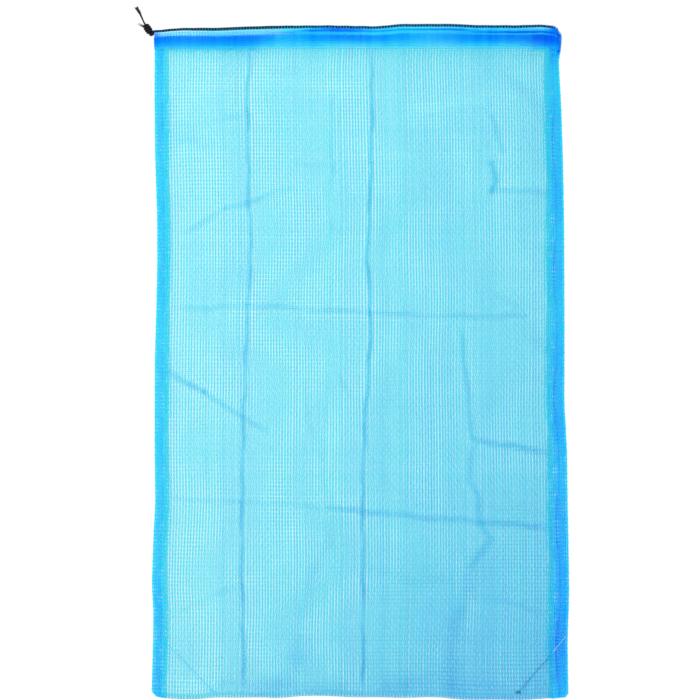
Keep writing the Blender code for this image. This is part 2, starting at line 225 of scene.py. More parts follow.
# Colour depth of a thin deeper line across the channel.
EDGE_DEPTH = EdgeLine(
    (
        -0.25, -0.19, -0.13, -0.10, -0.06, -0.045, -0.015, 0.01, 0.05, 0.084, 0.12, 0.16, 0.20,
        0.23,
    ),
    (0.30, 0.26, 0.24, 0.42, 0.72, 0.98, 1.00, 0.66, 0.46, 0.74, 0.70, 0.86, 1.00, 0.80),
)
# How far below the mouth that line lies.
UNDER_EDGE = EdgeLine.in_mm(
    (-0.25, -0.18, -0.14, -0.10, -0.07, -0.05, 0.00, 0.07, 0.11, 0.14, 0.20, 0.24),
    (9.6, 10.4, 10.8, 9.0, 7.6, 6.2, 6.0, 7.2, 7.0, 8.2, 8.6, 9.0),
)
# The bottom fold's outline.
FOOT_WANDER = EdgeLine.in_mm(
    (-0.245, -0.22, -0.196, -0.172, -0.10, -0.075, -0.03, 0.01, 0.094, 0.12, 0.143, 0.20, 0.245),
    (1.0, -1.0, -1.6, 1.2, 0.2, 2.6, 2.3, 0.7, 0.8, -1.2, -2.4, -2.2, 0.5),
)


@dataclass(frozen=True)
class Crease:
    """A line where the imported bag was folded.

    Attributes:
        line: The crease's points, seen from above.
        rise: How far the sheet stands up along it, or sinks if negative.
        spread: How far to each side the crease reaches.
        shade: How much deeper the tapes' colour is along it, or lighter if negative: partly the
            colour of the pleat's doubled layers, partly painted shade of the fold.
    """

    line: tuple[tuple[float, float], ...]
    rise: float
    spread: float
    shade: float

    SWAY = 0.0007
    END_REACH = 0.014

    @classmethod
    def along(cls, rise: float, spread: float, shade: float, *line: tuple[float, float]) -> Crease:
        """A crease through the points that end the list."""
        return cls(line, rise, spread, shade)

    def offset(self, x: Array, y: Array) -> tuple[Array, Array]:
        """Distance to the crease and the sideways direction to it.

        Args:
            x: Places across the bag.
            y: Places along the bag.

        Returns:
            The distance, and the X and Y parts of the way to the nearest point.
        """
        best = np.full(np.shape(x), 1e3)
        away = np.zeros(np.shape(x) + (2,))
        sway_x = self.SWAY * (np.sin(y * 97.0 + 1.3) + 0.5 * np.sin(y * 211.0 + 3.0 * x))
        sway_y = self.SWAY * (np.sin(x * 89.0 + 0.4) + 0.5 * np.sin(x * 197.0 + 3.0 * y))
        here = np.stack([x + sway_x, y + sway_y], -1)
        for a, b in zip(self.line, self.line[1:]):
            start, run = np.array(a), np.array(b) - np.array(a)
            share = np.clip(((here - start) @ run) / (run @ run), 0.0, 1.0)
            gap = start + share[..., None] * run - here
            far = np.linalg.norm(gap, axis=-1)
            closer = far < best
            best = np.where(closer, far, best)
            away = np.where(closer[..., None], gap, away)
        return best, away

    def strength(self, x: Array, y: Array) -> Array:
        """How strongly the crease acts at a place, weaker towards its ends."""
        ends = [np.hypot(x - end[0], y - end[1]) for end in (self.line[0], self.line[-1])]
        taper = 0.5 + 0.5 * ease(np.minimum(*ends) / self.END_REACH)
        uneven = 0.80 + 0.26 * np.sin(83.0 * x + 1.1) * np.sin(67.0 * y + 0.4)
        uneven = uneven + 0.16 * np.sin(131.0 * y + 41.0 * x)
        return taper * uneven * np.exp(-((self.offset(x, y)[0] / self.spread) ** 2))


PACKING_CREASES = (
    # The two long folds, from the hem to the bottom.
    Crease.along(
        0.0022, 0.0020, 0.60, (-0.1338, 0.380), (-0.1377, 0.3166), (-0.1357, 0.1955),
        (-0.1328, 0.1471), (-0.1372, 0.0502), (-0.1415, -0.0611), (-0.1444, -0.2500),
        (-0.1410, -0.3856), (-0.1406, -0.4040),
    ),
    Crease.along(
        0.0022, 0.0020, 0.64, (0.0130, 0.380), (0.0144, 0.3214), (0.0115, 0.2052),
        (0.0086, 0.1180), (0.0120, 0.0793), (0.0120, 0.0260), (0.0052, -0.0708),
        (0.0028, -0.1338), (0.0033, -0.4040),
    ),
    # Short folds on the left half.
    Crease.along(
        0.0010, 0.0034, 0.22, (-0.0335, 0.3263), (-0.0369, 0.2924), (-0.0355, 0.2343),
        (-0.0393, 0.2052),
    ),
    Crease.along(
        0.0008, 0.0024, 0.16, (-0.0393, 0.2052), (-0.0369, 0.1665), (-0.0369, 0.0599),
        (-0.0408, -0.0611),
    ),
    Crease.along(0.0, 0.0040, 0.14, (-0.0476, -0.0950), (-0.0430, -0.1500), (-0.0321, -0.1774)),
    Crease.along(0.0008, 0.0024, 0.20, (-0.0757, 0.2415), (-0.0345, 0.2367)),
    Crease.along(0.0008, 0.0030, 0.18, (-0.2306, 0.2875), (-0.1919, 0.2885), (-0.1386, 0.2996)),
    Crease.along(0.0, 0.0070, 0.24, (-0.2300, 0.2700), (-0.2080, 0.2720), (-0.1880, 0.2650)),
    Crease.along(0.0014, 0.0026, 0.32, (-0.2137, 0.1568), (-0.1870, 0.1737), (-0.1628, 0.1858)),
    Crease.along(
        0.0014, 0.0024, 0.38, (-0.1628, 0.1858), (-0.1357, 0.1931), (-0.1047, 0.2062),
        (-0.0853, 0.2100),
    ),
    # The folds across the bag, above and below its middle.
    Crease.along(0.0010, 0.0020, 0.30, (-0.2258, 0.0657), (-0.1822, 0.0648), (-0.1338, 0.0686)),
    Crease.along(
        0.0012, 0.0022, 0.38, (-0.1338, 0.0686), (-0.0853, 0.0657), (-0.0466, 0.0623),
        (0.0115, 0.0609),
    ),
    Crease.along(
        0.0012, 0.0022, 0.44, (0.0115, 0.0609), (0.0599, 0.0575), (0.1326, 0.0551),
        (0.2004, 0.0565),
    ),
    Crease.along(
        0.0022, 0.0030, 0.72, (-0.2370, -0.0110), (-0.2161, -0.0224), (-0.1919, -0.0345),
    ),
    Crease.along(
        0.0018, 0.0025, 0.50, (-0.1919, -0.0345), (-0.1677, -0.0515), (-0.1435, -0.0660),
        (-0.1144, -0.0815),
    ),
    Crease.along(
        0.0010, 0.0022, 0.26, (-0.2306, -0.1652), (-0.1580, -0.1686), (-0.0853, -0.1715),
        (-0.0369, -0.1774),
    ),
    Crease.along(
        0.0018, 0.0024, 0.52, (-0.0369, -0.1774), (0.0115, -0.1812), (0.0841, -0.1885),
        (0.1374, -0.1919), (0.2300, -0.2010),
    ),
    # Folds on the right half.
    Crease.along(0.0014, 0.0030, 0.36, (0.1592, 0.2972), (0.1640, 0.2827), (0.1713, 0.2585)),
    Crease.along(0.0020, 0.0034, 0.66, (0.1592, 0.2415), (0.1640, 0.2197), (0.1602, 0.2091)),
    Crease.along(
        0.0018, 0.0028, 0.42, (0.1602, 0.2091), (0.1810, 0.2076), (0.2052, 0.2076),
        (0.2280, 0.2052),
    ),
    Crease.along(
        0.0016, 0.0028, 0.42, (0.1219, 0.0357), (0.1277, -0.0127), (0.1326, -0.0660),
        (0.1350, -0.0926),
    ),
    Crease.along(
        0.0018, 0.0028, 0.50, (0.1350, -0.0926), (0.1568, -0.0975), (0.1858, -0.1023),
        (0.2280, -0.1096),
    ),
    Crease.along(
        0.0014, 0.0032, 0.34, (0.1350, -0.1047), (0.1326, -0.1435), (0.1422, -0.1628),
        (0.1447, -0.1919),
    ),
    Crease.along(
        0.0016, 0.0036, 0.42, (0.1471, -0.1967), (0.1568, -0.2137), (0.1471, -0.2282),
        (0.1350, -0.2452),
    ),
    Crease.along(
        0.0010, 0.0085, 0.34, (0.1350, -0.2452), (0.1316, -0.2645), (0.1156, -0.3178),
        (0.1108, -0.3565), (0.1132, -0.4000),
    ),
    Crease.along(0.0008, 0.0026, 0.18, (0.1374, -0.2839), (0.1713, -0.2888), (0.2280, -0.3060)),
    Crease.along(0.0006, 0.0050, 0.12, (0.0115, -0.2500), (0.0599, -0.2646), (0.1083, -0.2621)),
    Crease.along(
        0.0008, 0.0028, 0.18, (-0.2258, -0.3033), (-0.1822, -0.2839), (-0.1483, -0.2718),
    ),
    # Faint marks, and broad soft bands of deeper colour, most of them with no rise.
    Crease.along(0.0008, 0.0024, 0.16, (0.1543, 0.0890), (0.1907, 0.0672)),
    Crease.along(
        0.0006, 0.0028, 0.14, (-0.0684, -0.0272), (-0.0636, -0.0708), (-0.0563, -0.0950),
    ),
    Crease.along(0.0006, 0.0026, 0.16, (-0.0272, -0.0151), (-0.0127, -0.0418)),
    Crease.along(0.0, 0.0080, 0.13, (0.0309, 0.1955), (0.0309, -0.4000)),
    Crease.along(0.0, 0.0030, 0.10, (-0.1870, 0.0987), (-0.1870, -0.1677)),
    Crease.along(0.0, 0.0020, 0.10, (0.0841, 0.0115), (0.0865, -0.1919)),
    Crease.along(
        0.0006, 0.0075, 0.18, (-0.0321, -0.1774), (-0.0420, -0.2258), (-0.0611, -0.2597),
        (-0.0760, -0.3300),
    ),
    Crease.along(0.0, 0.0130, 0.26, (-0.0708, -0.3450), (-0.0900, -0.3850), (-0.1120, -0.3960)),
    Crease.along(
        0.0, 0.0100, 0.24, (-0.1800, -0.3900), (-0.1300, -0.3960), (-0.0500, -0.3960),
        (0.0500, -0.3990),
    ),
    Crease.along(0.0, 0.0140, 0.24, (0.0400, -0.3950), (0.0900, -0.3850), (0.1500, -0.3990)),
    Crease.along(0.0, 0.0080, 0.22, (0.2070, 0.0300), (0.2300, 0.0150)),
    Crease.along(0.0008, 0.0090, 0.20, (0.1700, 0.3450), (0.2050, 0.3250), (0.2250, 0.2950)),
    # The pull of the corner stitches: a low ridge along each row, with a painted shadow line along
    # it.
    Crease.along(0.0004, 0.0013, 0.34, (0.2505, -0.3365), (0.2170, -0.3710), (0.1925, -0.4010)),
    Crease.along(0.0004, 0.0013, 0.16, (-0.2340, -0.3420), (-0.1800, -0.4000)),
    # Lighter patches: paler colour and narrower tapes, with no rise.
    Crease.along(0.0, 0.0080, -0.14, (-0.1240, 0.3450), (-0.0100, 0.3300)),
    Crease.along(0.0, 0.0060, -0.18, (0.1570, 0.3410), (0.1450, 0.3170), (0.0600, 0.3070)),
    Crease.along(0.0, 0.0090, -0.10, (0.1650, 0.2050), (0.2050, 0.2250)),
    Crease.along(0.0, 0.0090, -0.14, (-0.0757, -0.1800), (-0.0900, -0.2400), (-0.1400, -0.2700)),
    Crease.along(0.0, 0.0100, -0.10, (0.0350, 0.2500), (0.1200, 0.2450)),
    Crease.along(0.0, 0.0080, -0.10, (-0.2200, 0.3000), (-0.2000, 0.3300), (-0.1450, 0.3400)),
)


@dataclass
class SoftField:
    """A smooth, seeded field of gentle hills, the same on every run.

    Attributes:
        seed: Picks the field.
        wavelength: About how far apart the hills are.
        height: How tall they are.
    """

    seed: int
    wavelength: float
    height: float
    waves: list[tuple[float, float, float]] = field(default_factory=list)

    def __post_init__(self) -> None:
        """Draw the field's waves."""
        draw = np.random.RandomState(self.seed)
        for _ in range(7):
            turn = draw.uniform(0, 2 * math.pi)
            pace = 2 * math.pi / (self.wavelength * draw.uniform(0.7, 1.5))
            self.waves.append(
                (pace * math.cos(turn), pace * math.sin(turn), draw.uniform(0, 6.28))
            )

    def at(self, x: Array, y: Array) -> Array:
        """The field's value at each place."""
        total = sum(np.sin(x * a + y * b + c) for a, b, c in self.waves)
        return total * self.height / 2.6


@dataclass
class SheetForm:
    """The shape of one half of the folded sheet.

    Attributes:
        bag: The bag's places.
        side: Which half this is.
        waves: Gentle hills in the sheet.
        drift: Sideways wander of the lengthwise tapes.
        sag: Lengthwise wander of the crosswise tapes.
    """

    bag: BagFrame
    side: Side
    waves: SoftField
    drift: SoftField
    sag: SoftField

    SHOULDER = 0.060
    REST = 0.0006
    PLEAT = 0.024
    PLEAT_REACH = 0.110
    LEFT_CORNER = 0.0090
    RIGHT_CORNER = 0.0045
    MOUTH_CORNER = 0.0105
    FOOT_REACH = 0.060
    NARROW = 0.005
    # How colour depth and tape width follow the weave's load and the creases.
    TONE_BY_LOAD = 0.19
    # How much the creases' painted shade deepens the colour.
    TONE_BY_SHADE = 0.31
    WIDTH_BY_LOAD = 0.52
    WIDTH_BY_SHADE = 0.62
    UNDER_HEM = 0.30
    UNDER_HEM_REACH = 0.012
    CROWDING = 0.50
    CROWDING_REACH = 2.2
    BORDER = 0.03
    PLEAT_HEIGHT = 0.0009
    FIELDS = {
        Side.FRONT: ((11, 0.16, 0.0012), (12, 0.22, 0.0007), (13, 0.26, 0.0008)),
        Side.BACK: ((21, 0.15, 0.0006), (22, 0.18, 0.0009), (23, 0.22, 0.0011)),
    }

    @classmethod
    def make(cls, bag: BagFrame, side: Side) -> SheetForm:
        """The form of one side.

        Args:
            bag: The bag's places.
            side: Front or back.

        Returns:
            The side's form, with its own waves.
        """
        return cls(bag, side, *(SoftField(*numbers) for numbers in cls.FIELDS[side]))

    def left(self, y: Array) -> Array:
        """Outer edge of the left seam."""
        return self.bag.left + LEFT_WANDER.at(y) + self.corner(y, self.LEFT_CORNER)

    def right(self, y: Array) -> Array:
        """Outer edge of the right seam."""
        return self.bag.right + RIGHT_WANDER.at(y) - self.corner(y, self.RIGHT_CORNER)

    def inner_left(self, y: Array) -> Array:
        """Where the left seam meets this sheet."""
        return self.bag.inner_left + 0.6 * LEFT_WANDER.at(y)

    def inner_right(self, y: Array) -> Array:
        """Where the right seam meets this sheet."""
        return self.bag.inner_right + 0.5 * RIGHT_WANDER.at(y)

    def corner(self, y: Array, radius: float) -> Array:
        """How far a rounded bottom corner pulls an edge in."""
        short = np.clip(self.bag.bottom + radius - y, 0.0, radius)
        return radius - np.sqrt(radius**2 - short**2)

    def settle(self, x: Array, y: Array) -> Array:
        """Places along the bag, moved near the bottom by the fold's own wander."""
        near = ease(1.0 - (y - self.bag.bottom) / self.FOOT_REACH)
        return y + FOOT_WANDER.at(x) * near

    def mouth(self, x: Array) -> Array:
        """The mouth's edge, rounded off at its right corner."""
        radius = self.MOUTH_CORNER
        past = np.clip(x - (self.bag.hem_right + 0.003 - radius), 0.0, 0.93 * radius)
        return self.bag.top + MOUTH_WANDER.at(x) - radius + np.sqrt(radius**2 - past**2)

    def inset(self, x: Array, y: Array) -> Array:
        """How far inside the panel's borders a place is, up to 1."""
        sides = np.minimum(x - self.inner_left(y), self.inner_right(y) - x)
        ends = np.minimum(y - self.bag.bottom, self.bag.hem_foot - y)
        return ease(sides / self.BORDER) * ease(ends / self.BORDER)

    def pleats(self, x: Array, y: Array) -> Array:
        """Low folds that run down from the hem, and close up when it is drawn."""
        near = ease(1.0 - (self.bag.top - y) / self.PLEAT_REACH)
        sway = 0.35 * np.sin(x * 31.0 + 0.8) + 0.22 * np.sin(x * 57.0)
        ridge = np.sin(2 * math.pi * x / self.PLEAT + sway * 2.4)
        swell = 0.65 + 0.35 * np.sin(x * 23.0 + 1.9)
        return self.PLEAT_HEIGHT * near * ridge * swell

    def height(self, x: Array, y: Array) -> Array:
        """Height of the sheet's outer face above the floor."""
        inside = self.inset(x, np.minimum(y, self.bag.hem_foot - 0.015))
        if self.side is Side.BACK:
            lift = self.REST + np.abs(self.waves.at(x, y)) * 1.2 * inside
            return lift + np.maximum(self.pleats(x, y), 0.0) * 0.5
        bag = self.bag
        across = np.minimum(x - bag.inner_left, bag.inner_right - x) / self.SHOULDER
        along = (y - bag.bottom - bag.fold_radius) / self.SHOULDER
        full = bag.edge_height + (bag.full_height - bag.edge_height) * ease(across) * ease(along)
        ridges = sum(c.rise * c.strength(x, y) for c in PACKING_CREASES if c.rise > 0)
        return full + (self.waves.at(x, y) + ridges) * inside + self.pleats(x, y)

    def shade(self, x: Array, y: Array) -> Array:
        """How much the creases darken a place, or lighten it if negative; the darkening is partly
        painted shade of the folds.
        """
        clear = np.ones(np.shape(x))
        lighter = np.zeros(np.shape(x))
        for crease in PACKING_CREASES:
            amount = crease.shade * crease.strength(x, y)
            if crease.shade > 0:
                clear = clear * (1 - np.clip(amount, 0.0, 0.9))
            else:
                lighter = lighter + amount
        return 1 - clear + lighter

    def load(self, x: Array, y: Array) -> Array:
        """How closely the tapes lie, growing towards the bottom right corner."""
        across = (x - self.bag.left) / (self.bag.right - self.bag.left)
        along = (self.bag.top - y) / (self.bag.top - self.bag.bottom)
        across, along = np.clip(across, 0, 1), np.clip(along, 0, 1)
        return 0.52 * across**1.5 + (0.12 + 0.98 * across) * along**3

    def depth(self, x: Array, y: Array) -> Array:
        """How deep the tapes' colour is: 0 is a single light layer, 1 many layers; along the
        creases it also holds painted shade.
        """
        return self.TONE_BY_LOAD * self.load(x, y) + self.TONE_BY_SHADE * self.shade(x, y)

    def widen(self, x: Array, y: Array) -> Array:
        """How much wider the tapes lie than their usual width."""
        short = (self.bag.hem_foot - y) / self.UNDER_HEM_REACH
        under_hem = self.UNDER_HEM * np.exp(-(short**2))
        creased = self.WIDTH_BY_SHADE * np.clip(self.shade(x, y), -0.5, 1.0)
        return 1.0 + self.WIDTH_BY_LOAD * self.load(x, y) + creased + under_hem

    def shift(self, x: Array, y: Array) -> tuple[Array, Array]:
        """Where the weave has slipped: wander, and crowding along the creases.

        Args:
            x: Places across the bag.
            y: Places along the bag.

        Returns:
            The shifts in X and Y.
        """
        inside = self.inset(x, y)
        move_x = self.drift.at(x, y)
        move_y = self.sag.at(x, y)
        for crease in PACKING_CREASES:
            if crease.spread > self.NARROW or crease.shade <= 0:
                continue
            far, away = crease.offset(x, y)
            near = np.exp(-((far / (crease.spread * self.CROWDING_REACH)) ** 2))
            pull = self.CROWDING * crease.shade * near
            move_x = move_x + away[..., 0] * pull
            move_y = move_y + away[..., 1] * pull
        return move_x * inside, move_y * inside


def make_mesh(name: str, points: Array, faces: Array, depth: Array | None = None) -> Piece:
    """A mesh object from arrays of points and four-cornered faces.

    Args:
        name: The piece's name.
        points: Its points, one row each.
        faces: Rows of four point numbers, all different.
        depth: Colour depth of each point, kept as the attribute "layers".

    Returns:
        The new object, in the scene.
    """
    points = np.maximum(points, (-np.inf, -np.inf, FLOOR_GAP))
    shape = bpy.data.meshes.new(name)
    shape.vertices.add(len(points))
    shape.vertices.foreach_set("co", np.asarray(points, np.float32).ravel())
    shape.loops.add(faces.size)
    shape.loops.foreach_set("vertex_index", faces.astype(np.int32).ravel())
    shape.polygons.add(len(faces))
    shape.polygons.foreach_set("loop_start", np.arange(len(faces), dtype=np.int32) * 4)
    shape.polygons.foreach_set("use_smooth", np.full(len(faces), True))
    shape.update(calc_edges=True)
    if depth is not None:
        layers = shape.attributes.new("layers", "FLOAT", "POINT")
        layers.data.foreach_set("value", np.asarray(depth, np.float32).ravel())
    flat = np.asarray(points)[faces.ravel()][:, :2]
    low, span = flat.min(0), max(float(np.ptp(flat, axis=0).max()), 1e-6)
    chart = shape.uv_layers.new(name="OFBake")
    chart.data.foreach_set("uv", ((flat - low) / span * 0.98 + 0.01).astype(np.float32).ravel())
    item = bpy.data.objects.new(name, shape)
    bpy.context.scene.collection.objects.link(item)
    return item


@dataclass
class TapeBundle:
    """Flat tapes gathered into one mesh.

    Attributes:
        points: Blocks of points.
        faces: Blocks of faces.
        depths: Blocks of colour depths.
        count: Points so far.
    """

    points: list[Array] = field(default_factory=list)
    faces: list[Array] = field(default_factory=list)
    depths: list[Array] = field(default_factory=list)
    count: int = 0

    CROWN = 0.10

    def add(self, centre: Array, across: Array, out: Array, width: Array, depth: Array) -> None:
        """Add a block of tapes, each slightly crowned over its width.

        Args:
            centre: Tape by station by XYZ, the tapes' middle lines.
            across: The widthwise directions, of the same shape.
            out: The outward directions, of the same shape.
            width: Tape by station, the tapes' widths.
            depth: Tape by station, the colour depths.
        """
        tapes, stations = centre.shape[:2]
        half = across * width[..., None] / 2
        crown = out * (width * self.CROWN)[..., None]
        rows = np.stack([centre - half, centre + crown, centre + half], axis=2)
        self.points.append(rows.reshape(-1, 3))
        self.depths.append(np.repeat(depth[..., None], 3, axis=2).ravel())
        number = np.arange(tapes * stations * 3).reshape(tapes, stations, 3) + self.count
        here, after = number[:, :-1], number[:, 1:]
        for k in (0, 1):
            corners = [here[..., k], here[..., k + 1], after[..., k + 1], after[..., k]]
            self.faces.append(np.stack(corners, axis=-1).reshape(-1, 4))
        self.count += tapes * stations * 3

    def finish(self, name: str) -> Piece:
        """The bundle as one mesh object."""
        return make_mesh(
            name,
            np.concatenate(self.points),
            np.concatenate(self.faces),
            np.concatenate(self.depths),
        )


@dataclass(frozen=True)
class Weave:
    """Sizes of the mesh's tapes.

    Attributes:
        warp_width: Width of each lengthwise tape.
        weft_width: Width of each crosswise tape.
        swing: How far the crossing tape swings to each side of its pair.
        lift: Half the distance between the pair's two tapes.
    """

    warp_width: float = 0.00118
    weft_width: float = 0.00205
    swing: float = 0.00052
    lift: float = 0.00022

    STANDING_SWING = 0.6

    def directions(self, grid: Array) -> tuple[Array, Array, Array]:
        """Across, along and outward directions on a grid of crossings.

        Args:
            grid: Warp by weft by XYZ.

        Returns:
            The three unit directions at each crossing.
        """
        across = unit(np.gradient(grid, axis=0))
        along = unit(np.gradient(grid, axis=1))
        return across, along, unit(np.cross(across, along))

    def lay(
        self,
        bundle: TapeBundle,
        kind: Tape,
        grid: Array,
        width: Array,
        depth: Array,
    ) -> None:
        """Lay one set of tapes over a grid of crossings.

        A crossing tape passes over the crosswise tapes and swings from side to side,
        a standing tape stays under them, and a crosswise tape runs between the two.

        Args:
            bundle: Where the tapes go.
            kind: Which set of tapes.
            grid: Warp by weft by XYZ.
            width: Width factor at each crossing.
            depth: Colour depth at each crossing.
        """
        across, along, out = self.directions(grid)
        if kind is Tape.WEFT:
            line = grid + out * self.lift * 0.5
            turned = [a.transpose(1, 0, 2) for a in (line, along, out)]
            bundle.add(*turned, width.T * self.weft_width, depth.T)
            return
        warps, wefts = grid.shape[:2]
        sign = np.where((np.arange(warps)[:, None] + np.arange(wefts)) % 2, 1.0, -1.0)
        if kind is Tape.STANDING:
            swing = sign * self.swing * self.STANDING_SWING
            line = grid - out * self.lift - across * swing[..., None]
            bundle.add(line, across, out, width * self.warp_width, depth)
            return
        line = np.empty((warps, wefts * 2 - 1, 3))
        line[:, 0::2] = grid + out * self.lift * 2 + across * (sign * self.swing)[..., None]
        line[:, 1::2] = (grid[:, :-1] + grid[:, 1:]) / 2 - out[:, :-1] * self.lift
        doubled = (np.repeat(a, 2, axis=1)[:, :-1] for a in (across, out, width, depth))
        across, out, width, depth = doubled
        bundle.add(line, across, out, width * self.warp_width, depth)

    def lay_all(
        self,
        bundle: TapeBundle,
        grid: Array,
        width: Array,
        depth: Array,
        weft_width: Array,
    ) -> None:
        """Lay all three sets of tapes.

        Args:
            bundle: Where the tapes go.
            grid: Warp by weft by XYZ.
            width: Width factor of the lengthwise tapes at each crossing.
            depth: Colour depth at each crossing.
            weft_width: Width factor of the crosswise tapes.
        """
        self.lay(bundle, Tape.CROSSING, grid, width, depth)
        self.lay(bundle, Tape.STANDING, grid, width, depth)
        self.lay(bundle, Tape.WEFT, grid, weft_width, depth)


def hand_over(bundle: TapeBundle | TubeBundle, name: str, finish: Finish, node: str) -> Piece:
    """Turn a bundle into a dressed piece that stands in for a CAD node.

    Args:
        bundle: The tapes or threads.
        name: The piece's name.
        finish: Its finish.
        node: The CAD node that it replaces.

    Returns:
        The piece.
    """
    piece = bundle.finish(name)
    finish.dress(piece)
    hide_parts(node)
    return piece


@dataclass
class Panel:
    """One half of the folded mesh sheet, from the bottom fold to the hem.

    Attributes:
        form: The sheet's shape.
        weave: The tapes' sizes.
        seed: Picks the small faults of this side's weave.
        warp_pitch: Distance between lengthwise pairs.
        weft_pitch_low: Distance between crosswise tapes at the bottom.
        weft_pitch_high: The same at the mouth.
    """

    form: SheetForm
    weave: Weave
    seed: int
    warp_pitch: float = 0.00357
    weft_pitch_low: float = 0.0049
    weft_pitch_high: float = 0.0043

    TWIST_WIDTH = 0.54
    TWIST_TONE = 0.10
    FIRST_WEFT = 0.0006
    LAST_WEFT = 0.0010
    # Spread of the weave's small faults.
    PLACE_FAULT = 0.035
    PITCH_FAULT = 0.025
    WARP_FAULT = 0.06
    WEFT_FAULT = 0.05
    TWIST_FAULT = 0.08
    TONE_FAULT = 0.05

    def warp_shares(self) -> Array:
        """Where the lengthwise pairs lie, as shares of the panel's width."""
        bag = self.form.bag
        count = int(round((bag.inner_right - bag.inner_left) / self.warp_pitch))
        draw = np.random.RandomState(self.seed)
        inside = (np.arange(count) + 0.5 + draw.normal(0, self.PLACE_FAULT, count)) / count
        return np.concatenate([[-0.5 / count], inside, [1.0 + 0.5 / count]])

    def weft_places(self) -> Array:
        """Where the crosswise tapes lie along the bag."""
        bag = self.form.bag
        y = bag.bottom + bag.fold_radius + self.FIRST_WEFT
        places = []
        draw = np.random.RandomState(self.seed + 1)
        while y < bag.hem_foot:
            share = (y - bag.bottom) / (bag.top - bag.bottom)
            pitch = self.weft_pitch_low + (self.weft_pitch_high - self.weft_pitch_low) * share
            places.append(y)
            y += pitch * (1 + draw.normal(0, self.PITCH_FAULT))
        start = places[0]
        room = bag.hem_foot + self.LAST_WEFT - start
        return start + (np.array(places) - start) * room / (places[-1] - start)

    def grid(self) -> Array:
        """Every crossing of the panel's tapes, warp by weft by XYZ."""
        shares, places = self.warp_shares(), self.weft_places()
        s, y = np.meshgrid(shares, places, indexing="ij")
        left, right = self.form.inner_left(y), self.form.inner_right(y)
        x = left + (right - left) * s
        move_x, move_y = self.form.shift(x, y)
        x, y = x + move_x, self.form.settle(x, y) + move_y
        return np.stack([x, y, self.form.height(x, y)], axis=-1)

    def build(self, finishes: tuple[YarnFinish, ...]) -> list[Piece]:
        """Weave the panel's three sets of tapes.

        Args:
            finishes: Finishes of the crossing, standing and crosswise tapes.

        Returns:
            The crossing tapes, the standing tapes and the crosswise tapes.
        """
        side = self.form.side.value
        grid = self.grid()
        draw = np.random.RandomState(self.seed + 2)
        depth = self.form.depth(grid[..., 0], grid[..., 1])
        widths = self.form.widen(grid[..., 0], grid[..., 1])
        warp = widths * (1 + draw.normal(0, self.WARP_FAULT, (len(grid), 1)))
        weft = widths * (1 + draw.normal(0, self.WEFT_FAULT, (1, grid.shape[1])))
        narrow = self.TWIST_WIDTH * (1 + draw.normal(0, self.TWIST_FAULT, (len(grid), 1)))
        narrow = narrow * (0.1 + 0.9 * widths)
        pieces = []
        for kind, width, lift, finish in (
            (Tape.CROSSING, narrow, self.TWIST_TONE, finishes[0]),
            (Tape.STANDING, warp, 0.0, finishes[1]),
            (Tape.WEFT, weft, 0.0, finishes[2]),
        ):
            bundle = TapeBundle()
            tone = depth + lift + draw.normal(0, self.TONE_FAULT, (len(grid), 1))
            self.weave.lay(bundle, kind, grid, width, tone)
            piece = bundle.finish(f"{side}_panel_{kind.value}")
            finish.dress(piece)
            pieces.append(piece)
        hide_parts(f"{side}_panel")
        return pieces


@dataclass
class Fold:
    """The fold at the bottom, where the sheet turns from the back to the front.

    Attributes:
        front: The front sheet's form.
        shares: Where the lengthwise pairs lie.
        weave: The tapes' sizes.
    """

    front: SheetForm
    shares: Array
    weave: Weave

    SKIN = 0.0004
    EXTRA_TONE = 0.12
    WEFT_WIDTH = 1.1

    def build(self, finish: YarnFinish) -> Piece:
        """Weave the fold.

        Args:
            finish: The tapes' finish.

        Returns:
            The fold's mesh.
        """
        bag = self.front.bag
        turns = np.linspace(-math.pi / 2, math.pi / 2, 5)
        s, turn = np.meshgrid(self.shares, turns, indexing="ij")
        foot = np.full(s.shape, bag.bottom + bag.fold_radius)
        left, right = self.front.inner_left(foot), self.front.inner_right(foot)
        x = left + (right - left) * s
        radius = bag.fold_radius - self.SKIN
        y = self.front.settle(x, bag.bottom + bag.fold_radius - radius * np.cos(turn))
        z = bag.fold_radius + radius * np.sin(turn)
        y = y + 0.0004 * np.sin(x * 90.0) * np.cos(turn)
        grid = np.stack([x, y, z], axis=-1)
        bundle = TapeBundle()
        width = np.ones(s.shape)
        depth = self.front.depth(x, y) + self.EXTRA_TONE
        self.weave.lay_all(bundle, grid, width, depth, width * self.WEFT_WIDTH)
        return hand_over(bundle, "bottom_fold_mesh", finish, "bottom_fold")


